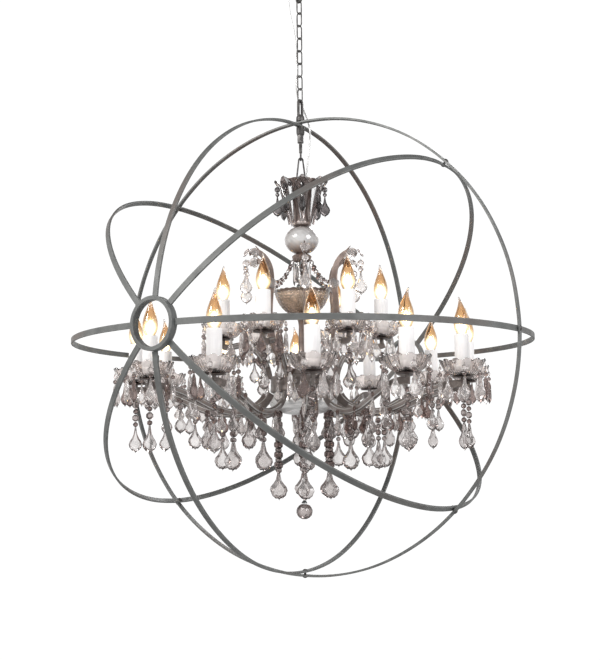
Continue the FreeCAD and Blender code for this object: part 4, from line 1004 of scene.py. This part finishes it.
crooks = Build()
crook = arm_bar(CROOK, 15.0, 4.0, taper=taper_tip)
thorn = arm_bar([(112, 212), (121, 219.5), (132, 230)], 6.0, 3.0, count=10, taper=lambda s: 1 - 0.85 * s)
for k in range(6):
    crooks.add(crook, about(DELTA + 60 * k))
    crooks.add(thorn, about(DELTA + 60 * k))
put(crooks, "crook_straps_bent", BRONZE, "chandelier", "crook_straps", 35)


def nozzle(radius, top):
    z0, z1 = top - 99 - 10, top - 72
    return lathe([(0, ZC + z0), (4.4, ZC + z0), (5.0, ZC + z0 + 0.8), (5.0, ZC + z1), (0, ZC + z1)], 20)


for name, points, w, first, radius, top, n, az0 in (
    ("upper_arms", UPPER_ARM, 15.0, 0.1, UPPER_R, UPPER_T, UPPER_N, DELTA + 30),
    ("lower_arms", LOWER_ARM, 17.0, 0.08, LOWER_R, LOWER_T, LOWER_N, DELTA),
):
    b = Build()
    strap = arm_bar(points, w, 4.0, first, 1.0)
    stub = nozzle(radius, top)
    for k in range(n):
        b.add(strap, about(az0 + 360 * k / n))
        b.add(stub, about(az0 + 360 * k / n, radius))
    put(b, name + "_bent", GREY_BRONZE, "chandelier", name, 35)
bars = Build()
for points, w, first, last, n, az0 in ((UPPER_ARM, 9.0, 0.25, 0.83, UPPER_N, DELTA + 30), (LOWER_ARM, 11.0, 0.19, 0.83, LOWER_N, DELTA)):
    for side in (-1, 1):
        g = arm_bar(points, w, 3.6, first, last, side * 3.85, bevel=1.3, edge=0.6)
        for k in range(n):
            bars.add(g, about(az0 + 360 * k / n))
put(bars, "arm_glass_bars", BAR_GLASS, "chandelier", "arm_glass", 35)

rose = Build()
one_rose = stone([(-2.4, 5.0), (-1.4, 11.4), (0.0, 12.0), (1.2, 8.4), (2.5, 4.4)], 12)
tip_rose = stone([(-2.4, 5.0), (-1.4, 11.4), (0.0, 12.0), (1.2, 8.4), (2.5, 4.4)], 12)
for k in range(6):
    az = DELTA + 60 * k
    for side in (-1, 1):
        rose.add(one_rose, about(az) @ shift(87.0, side * 4.6, ZC + 142.0) @ turn((1, 0, 0), -90 * side))
        rose.add(one_rose, about(az) @ shift(136.0, side * 4.6, ZC + 212.5) @ turn((1, 0, 0), -90 * side))
    rose.add(tip_rose, about(az) @ shift(158.5, 0, ZC + 211.0) @ turn((0, 1, 0), 60))
put(rose, "rosettes_cut", BRIGHT_CRYSTAL, "chandelier", "rosettes")

# --------------------------------------------------------------- candle cups
TIERS = ((LOWER_R, LOWER_T, LOWER_N, DELTA), (UPPER_R, UPPER_T, UPPER_N, DELTA + 30))


def cups():
    for radius, top, n, az0 in TIERS:
        for k in range(n):
            yield about(az0 + 360 * k / n, radius, ZC + top)


def dish_wave(th, r, z, i):
    k = np.clip((r - 14) / 38, 0, 1)
    return r * (1 + 0.045 * k * k * np.cos(12 * th)), z + 2.2 * k ** 3 * np.cos(12 * th) - 0.5 * k * np.cos(36 * th)


dish_o = spline([(6.0, -95.0), (20.0, -95.0), (32.0, -91.0), (43.0, -80.0), (49.0, -68.0), (51.6, -61.5)], 16)
dish_i = spline([(6.0, -90.6), (17.6, -90.2), (29.0, -86.8), (39.4, -77.0), (45.4, -66.0), (48.6, -59.4)], 16)
one = lathe([tuple(p) for p in dish_o] + [(50.8, -59.2)] + [tuple(p) for p in dish_i[::-1]], 144, dish_wave)
b = Build()
for m in cups():
    b.add(one, m)
put(b, "bobeches_scalloped", DISH_GLASS, "chandelier", "bobeches", 50)

disc = lathe([(5.05, -98.0), (20.0, -98.0), (24.0, -97.5), (26.0, -96.6), (25.0, -95.7), (21.0, -95.1), (5.05, -95.1)], 48)
b = Build()
for m in cups():
    b.add(disc, m)
put(b, "drip_discs_pressed", DARK_BRONZE, "chandelier", "drip_discs", 35)

sleeve = lathe([(15.6, -85.5), (16.6, -85.5), (17.0, -85.0), (17.0, -71.4), (16.72, -70.9), (16.72, -70.1), (17.0, -69.6), (16.85, -40.0), (16.7, -3.0), (16.6, -1.0), (16.2, 0.0), (15.6, 0.0)], 48)
b = Build()
for m in cups():
    b.add(sleeve, m @ turn((0, 0, 1), float(RNG.uniform(0, 360))))
put(b, "candle_sleeves_resin", CANDLE, "chandelier", "candle_sleeves", 35)

bulb_o = spline([(11.0, 1.0), (13.2, 6.0), (16.6, 16.0), (17.4, 26.0), (15.8, 38.0), (11.8, 51.0), (7.4, 63.0), (4.0, 74.0), (1.8, 84.4)], 44)
bulb_i = spline([(10.2, 1.0), (12.4, 6.2), (15.8, 16.2), (16.6, 26.0), (15.0, 37.7), (11.0, 50.6), (6.6, 62.6), (3.1, 73.4), (1.1, 79.0)], 44)
prof = [tuple(p) for p in bulb_o] + [(0.9, 85.6), (0, 86.0), (0, 80.4)] + [tuple(p) for p in bulb_i[::-1]]
bulb_v, bulb_f, _ = lathe(prof, 40, marks=[0.0] * len(prof))
b = Build()
for m in cups():
    v = bulb_v.copy()
    bend = np.clip((v[:, 2] - 52) / 34, 0, None) ** 2 * float(RNG.uniform(3.5, 7.5))
    v[:, 0] += bend
    b.add((v, bulb_f, np.clip(v[:, 2] / 86.0, 0, 1)), m @ turn((0, 0, 1), float(RNG.uniform(0, 360))))
put(b, "bulbs_flame_tip", LAMP, "chandelier", "bulbs", 60)

b = Build()
stem = lathe([(0, -20.0), (2.5, -20.0), (2.5, 4.0), (1.6, 9.0), (1.2, 14.0), (0, 14.6)], 14)
for m in cups():
    b.add(stem, m)
    for j in range(4):
        t0 = math.radians(90 * j + 20)
        x, y = math.cos(t0), math.sin(t0)
        b.add(tube([(1.0 * x, 1.0 * y, 13.0), (4.2 * x, 4.2 * y, 20.0), (4.6 * x, 4.6 * y, 30.0), (1.6 * x, 1.6 * y, 36.0)], 0.55, 6), m)
put(b, "filaments_wound", GLOW, "chandelier", "filaments", 60)

# ------------------------------------------------------------------ crystals
wires = Build()


def chain_of(build, m, items, wire_az=0.0, gap=0.02, dark=None):
    """Crystals one under another: items are (part, length); m puts z = 0 at the
    top. A wire ring joins each to the next. dark says how smoky each one is."""
    z = 0.0
    for i, (part, length) in enumerate(items):
        build.add(part, m @ shift(0, 0, z), 0.0 if dark is None else dark[i])
        z -= length + gap
        p = (m @ np.array([0, 0, z, 1]))[:3]
        wires.add(wire_ring(p[0], p[1], p[2], 1.5, 0.4, wire_az))
    return z


def hang(part, length):
    """A part centred on its own middle, moved so that it hangs from z = 0."""
    v, f, a = part
    return v + np.array([0, 0, -length / 2]), f, a


rim = Build()
o7, r6 = hang(octagon(6.9, 6.4), 13.0), hang(round_bead(5.4), 12.0)
rim_items = [(o7, 13.0), (r6, 12.0), (kite_drop(24.0, 52.0, 10.0), 52.0)]
for radius, top, n, az0 in TIERS:
    for k in range(n):
        az = az0 + 360 * k / n
        c = about(az, radius, ZC + top)
        for j in range(8):
            out = az + 22.5 + 45 * j
            a = math.radians(out)
            base = (c @ np.array([0, 0, 0, 1]))[:3]
            x, y = base[0] + 51 * math.sin(a), base[1] - 51 * math.cos(a)
            m = shift(x, y, ZC + top - 72.5) @ turn((0, 0, 1), out - 90 + float(RNG.uniform(-16, 16)))
            wires.add(tube([(x, y, ZC + top - 66.4), (x, y, ZC + top - 72.5)], 0.6, 6))
            chain_of(rim, m, rim_items, out, 0.08, (0.0, 0.8, 0.9 if RNG.random() < 0.28 else 0.0))
put(rim, "rim_pendants_cut", BRIGHT_CRYSTAL, "chandelier", "rim_pendants")

arms = Build()
s13, s12 = (hang(round_bead(6.4), 13.0), 13.0), (hang(round_bead(6.2), 12.0), 12.0)
b18, b15 = (hang(octagon(8.6, 8.0), 18.0), 18.0), (hang(octagon(7.4, 7.4), 15.0), 15.0)
for r, h, n, first, items in (
    (LOWER_R, -121.6, LOWER_N, DELTA, [s13, b18, s13, b18, s13, (kite_drop(32.0, 60.0, 14.0), 60.0)]),
    (330.0, -135.0, LOWER_N, DELTA, [s12, b15, (kite_drop(28.0, 52.0, 12.0), 52.0)]),
    (262.0, -164.0, LOWER_N, DELTA, [b15, s12, (shell_drop(34.0, 60.0, 14.0), 60.0)]),
    (196.0, -180.0, LOWER_N, DELTA, [b15, s13, b15, s13, (shell_drop(40.0, 64.0, 16.0), 64.0)]),
    (122.0, -169.0, LOWER_N, DELTA, [s12, (kite_drop(26.0, 50.0, 11.0), 50.0)]),
    (UPPER_R, -18.0, UPPER_N, DELTA + 30, [s13, b18, s13, (kite_drop(30.0, 56.0, 14.0), 56.0)]),
    (118.0, -31.5, UPPER_N, DELTA + 30, [s12, (kite_drop(26.0, 50.0, 11.0), 50.0)]),
):
    for k in range(n):
        az = first + 360.0 * k / n
        m = about(az, r, ZC + h - 3.02) @ turn((0, 0, 1), VIEW_AZ - az + float(RNG.uniform(-36, 36)))
        p = (about(az, r) @ np.array([0, 0, 0, 1]))[:3]
        wires.add(tube([(p[0], p[1], ZC + h + 1), (p[0], p[1], ZC + h - 3)], 0.6, 6))
        chain_of(arms, m, items, az, 0.02, [0.90 if i % 2 == 0 else 0.60 for i in range(len(items) - 1)] + [0.04])
pairs = Build()
pair_items = [(hang(octagon(5.9, 5.6), 12.0), 12.0), (kite_drop(24.0, 44.0, 7.0), 44.0)]
for radius, h in ((165.0, -168.54), (232.0, -163.0), (300.0, -133.78)):
    for side in (-1, 1):
        z = ZC + h + 7.6
        y = side * 14.0
        hook = tube([(radius, side * 2.05, z), (radius, side * 12.4, z), (radius, side * 13.6, z - 0.4), (radius, y, z - 1.6), (radius, y, z - 4.5)], 0.6, 6)
        for k in range(LOWER_N):
            az = DELTA + 360.0 * k / LOWER_N
            wires.add(hook, about(az))
            m = about(az) @ shift(radius, y, z - 4.55) @ turn((0, 0, 1), 90 + float(RNG.uniform(-8, 8)))
            chain_of(pairs, m, pair_items, az + 90, 0.05, (1.0, 1.0 if RNG.random() < 0.35 else 0.0))
hub_items = [(hang(octagon(5.9, 5.6), 12.0), 12.0), (kite_drop(22.0, 42.0, 8.0), 42.0)]
for k in range(12):
    az = DELTA + 15 + 30 * k
    wires.add(tube([(80.05, 0, ZC - 85.0), (88.6, 0, ZC - 85.0), (89.7, 0, ZC - 85.6), (90.0, 0, ZC - 87.0), (90.0, 0, ZC - 89.5)], 0.7, 6), about(az))
    chain_of(pairs, about(az, 90.0, ZC - 89.55), hub_items, az, 0.05, (0.5, 0.1))
put(arms, "arm_pendants_cut", CRYSTAL, "chandelier", "arm_pendants")
put(pairs, "arm_pairs_cut", BRIGHT_CRYSTAL, "chandelier", "arm_pendants")

crown_drops = Build()
PT = (25.5 + 96 * math.sin(math.radians(LEAN)), 297 + 96 * math.cos(math.radians(LEAN)))
for k in range(8):
    az = DELTA + 45 * k
    m = about(az, PT[0] + 10.2, ZC + PT[1] + 0.5) @ turn((0, 0, 1), 72 + float(RNG.uniform(-12, 12)))
    chain_of(crown_drops, m, [(hang(octagon(7.4, 6.6), 14.0), 14.0), (hang(round_bead(5.4), 11.0), 11.0), (kite_drop(26.0, 50.0, 10.0), 50.0)], az, 0.02, (0.8, 1.0, 1.0))
spears = Build()
spear = spear_drop(12.5, 56.0, 7.0)
for k in range(6):
    az = DELTA + 30 + 60 * k
    p = (about(az, 19.0) @ np.array([0, 0, 0, 1]))[:3]
    wires.add(tube([(p[0], p[1], ZC + 203.0), (p[0], p[1], ZC + 199.3)], 0.6, 6))
    spears.add(spear, about(az, 19.0, ZC + 199.2), 0.0)
put(crown_drops, "crown_pendants_cut", SMOKY_CRYSTAL, "chandelier", "crown_pendants")
put(spears, "column_spears_cut", CRYSTAL, "chandelier", "crown_pendants")

crook_drops = Build()
for k in range(6):
    az = DELTA + 60 * k
    p = (about(az, 158.5) @ np.array([0, 0, 0, 1]))[:3]
    wires.add(tube([(p[0], p[1], ZC + 196), (p[0], p[1], ZC + 192)], 0.6, 6))
    m = about(az, 158.5, ZC + 196 - 4.02) @ turn((0, 0, 1), VIEW_AZ - az + float(RNG.uniform(-30, 30)))
    chain_of(crook_drops, m, [(hang(octagon(8.6, 7.6), 15.0), 15.0), (hang(round_bead(6.6), 13.0), 13.0), (kite_drop(30.0, 54.0, 12.0), 54.0)], az, 0.02, (0.1, 0.5, 0.05))
put(crook_drops, "crook_pendants_cut", BRIGHT_CRYSTAL, "chandelier", "crook_pendants")

swags = Build()
for k in range(6):
    az = DELTA + 60 * k
    pts = []
    for i in range(9):
        t = i / 8
        pts.append(np.array([25 + 49 * t, 0, ZC + 206 - 60 * t - 52 * t * (1 - t)]))
    for i in range(8):
        p, q = pts[i], pts[i + 1]
        d = q - p
        length = float(np.linalg.norm(d))
        rot = Vector((0, 0, -1)).rotation_difference(Vector(d)).to_matrix().to_4x4()
        r = 5.4 if i % 2 else 4.4
        part = stone([(-length * 0.5 + 0.6, r * 0.35), (-length * 0.25, r * 0.9), (0, r), (length * 0.25, r * 0.9), (length * 0.5 - 0.6, r * 0.35)], 7)
        mid_point = (p + q) / 2
        swags.add(part, about(az) @ shift(*mid_point) @ np.array(rot), float(i % 2))
put(swags, "bead_swags_cut", CRYSTAL, "chandelier", "bead_swags")

sides = Build()
big, small7 = hang(octagon(10.8, 9.6), 12.0), hang(round_bead(7.6), 12.0)
fan = shell_drop(42.0, 62.0, 19.0)
for k in range(6):
    az = DELTA + 60 * k
    p = (about(az, 71) @ np.array([0, 0, 0, 1]))[:3]
    wires.add(tube([(p[0], p[1], ZC - 163.2), (p[0], p[1], ZC - 167.2)], 0.6, 6))
    m = about(az, 71, ZC - 163.2 - 4.02) @ turn((0, 0, 1), VIEW_AZ - az + float(RNG.uniform(-24, 24)))
    chain_of(sides, m, [(big if i % 2 == 0 else small7, 12.0) for i in range(12)] + [(fan, 62.0)], az, 0.02, [0.95 if i % 2 == 0 else 0.55 for i in range(12)] + [0.04])
put(sides, "side_strings_cut", CRYSTAL, "chandelier", "side_strings")
put(wires, "pendant_wires", WIRE, "chandelier", "pendant_pins", 60)

# -------------------------------------------------------------- middle string
string = Build()
ring_top = ZC + DROP + 1.2 + 0.25 + 1.0
string.add(tube(link_line(9, 9, 14, 1.0, 10), 1.0, 8, True), facing(VIEW_AZ, 0, 0, ring_top - 6.0))
z = ring_top + 1.0 - 14.0 - 0.02
for i in range(9):
    part = hang(round_bead(6.2), 15.0) if i % 2 == 0 else hang(octagon(7.6, 8.4), 15.0)
    string.add(part, facing(VIEW_AZ - 90 + 12 * (i % 3), 0, 0, z), 0.85 if i % 2 else 0.3)
    z -= 15.02
v, f, a = stone([(-36.0, 1.5), (-28.0, 6.4), (-17.0, 10.0), (-7.0, 6.0), (0.0, 1.8)], 8, 0.62)
string.add((v, f, a), facing(VIEW_AZ, 0, 0, z))
z -= 36.02
put(string, "middle_string_cut", CRYSTAL, "middle_drop", "middle_string")
put(Build().add(lathe([(0, z - 8.0), (6.2, z - 8.0), (7.0, z - 7.4), (6.4, z - 5.0), (4.6, z - 3.0), (2.4, z - 0.8), (1.6, z), (0, z)], 24)), "finial_cap_turned", STEM_METAL, "middle_drop", "finial_cap", 40)
c = z - 8.02 - 19.0
levels = [(c + 19.0 * math.sin(math.radians(e)), 20.0 * math.cos(math.radians(e))) for e in (-72, -50, -30, -10, 10, 30, 50, 68)]
put(Build().add(stone(levels, 14), mark=0.6), "finial_ball_cut", CRYSTAL, "middle_drop", "finial_ball")


# --------------------------------------------------------------- the studio
def stage_mesh(name, verts, faces, material):
    mesh = bpy.data.meshes.new(name)
    mesh.from_pydata(verts, [], faces)
    mesh.materials.append(material)
    o = bpy.data.objects.new(name, mesh)
    bpy.context.scene.collection.objects.link(o)
    return o


floor_mat, nt, b = new_material("pale_floor")
b.inputs["Base Color"].default_value = (0.8, 0.8, 0.8, 1)
b.inputs["Roughness"].default_value = 0.9
FLOOR_Z, FLOOR_R = -3.2, 6.2
n = 64
stage_mesh("floor", [(FLOOR_R * math.cos(2 * math.pi * k / n), FLOOR_R * math.sin(2 * math.pi * k / n), FLOOR_Z) for k in range(n)], [tuple(range(n))], floor_mat)

world = bpy.data.worlds.new("studio")
bpy.context.scene.world = world
world.use_nodes = True
nt = world.node_tree
bg = nt.nodes["Background"]
tc = nt.nodes.new("ShaderNodeTexCoord")
sep = nt.nodes.new("ShaderNodeSeparateXYZ")
nt.links.new(tc.outputs["Generated"], sep.inputs["Vector"])
sky = ramp(nt, spread(nt, sep.outputs["Z"], 0, 1, -1, 1), [(0.0, (0.30, 0.28, 0.27)), (0.26, (0.10, 0.09, 0.085)), (0.355, (0.25, 0.24, 0.235)), (0.385, (1.0, 1.0, 1.0)), (0.715, (1.0, 1.0, 1.0)), (0.76, (0.10, 0.095, 0.09)), (0.88, (0.14, 0.13, 0.13)), (1.0, (0.5, 0.5, 0.5))])
nt.links.new(sky, bg.inputs["Color"])
bg.inputs["Strength"].default_value = 1.05


def area(name, place, size, power, color=(1, 1, 1)):
    light = bpy.data.lights.new(name, "AREA")
    light.shape = "RECTANGLE"
    light.size, light.size_y = size
    light.energy = power
    light.color = color
    o = bpy.data.objects.new(name, light)
    o.location = place
    d = Vector((0, 0, ZC / 1000)) - Vector(place)
    o.rotation_euler = d.to_track_quat("-Z", "Y").to_euler()
    bpy.context.scene.collection.objects.link(o)


area("key", (-1.2, -3.2, 0.9), (1.6, 1.2), 115, (1.0, 0.99, 0.97))
area("fill", (3.4, -0.6, 0.4), (1.2, 1.6), 62, (0.97, 0.98, 1.0))
area("back", (-0.8, 3.0, 0.8), (1.8, 1.0), 35)

bpy.context.scene.view_settings.view_transform = "Standard"
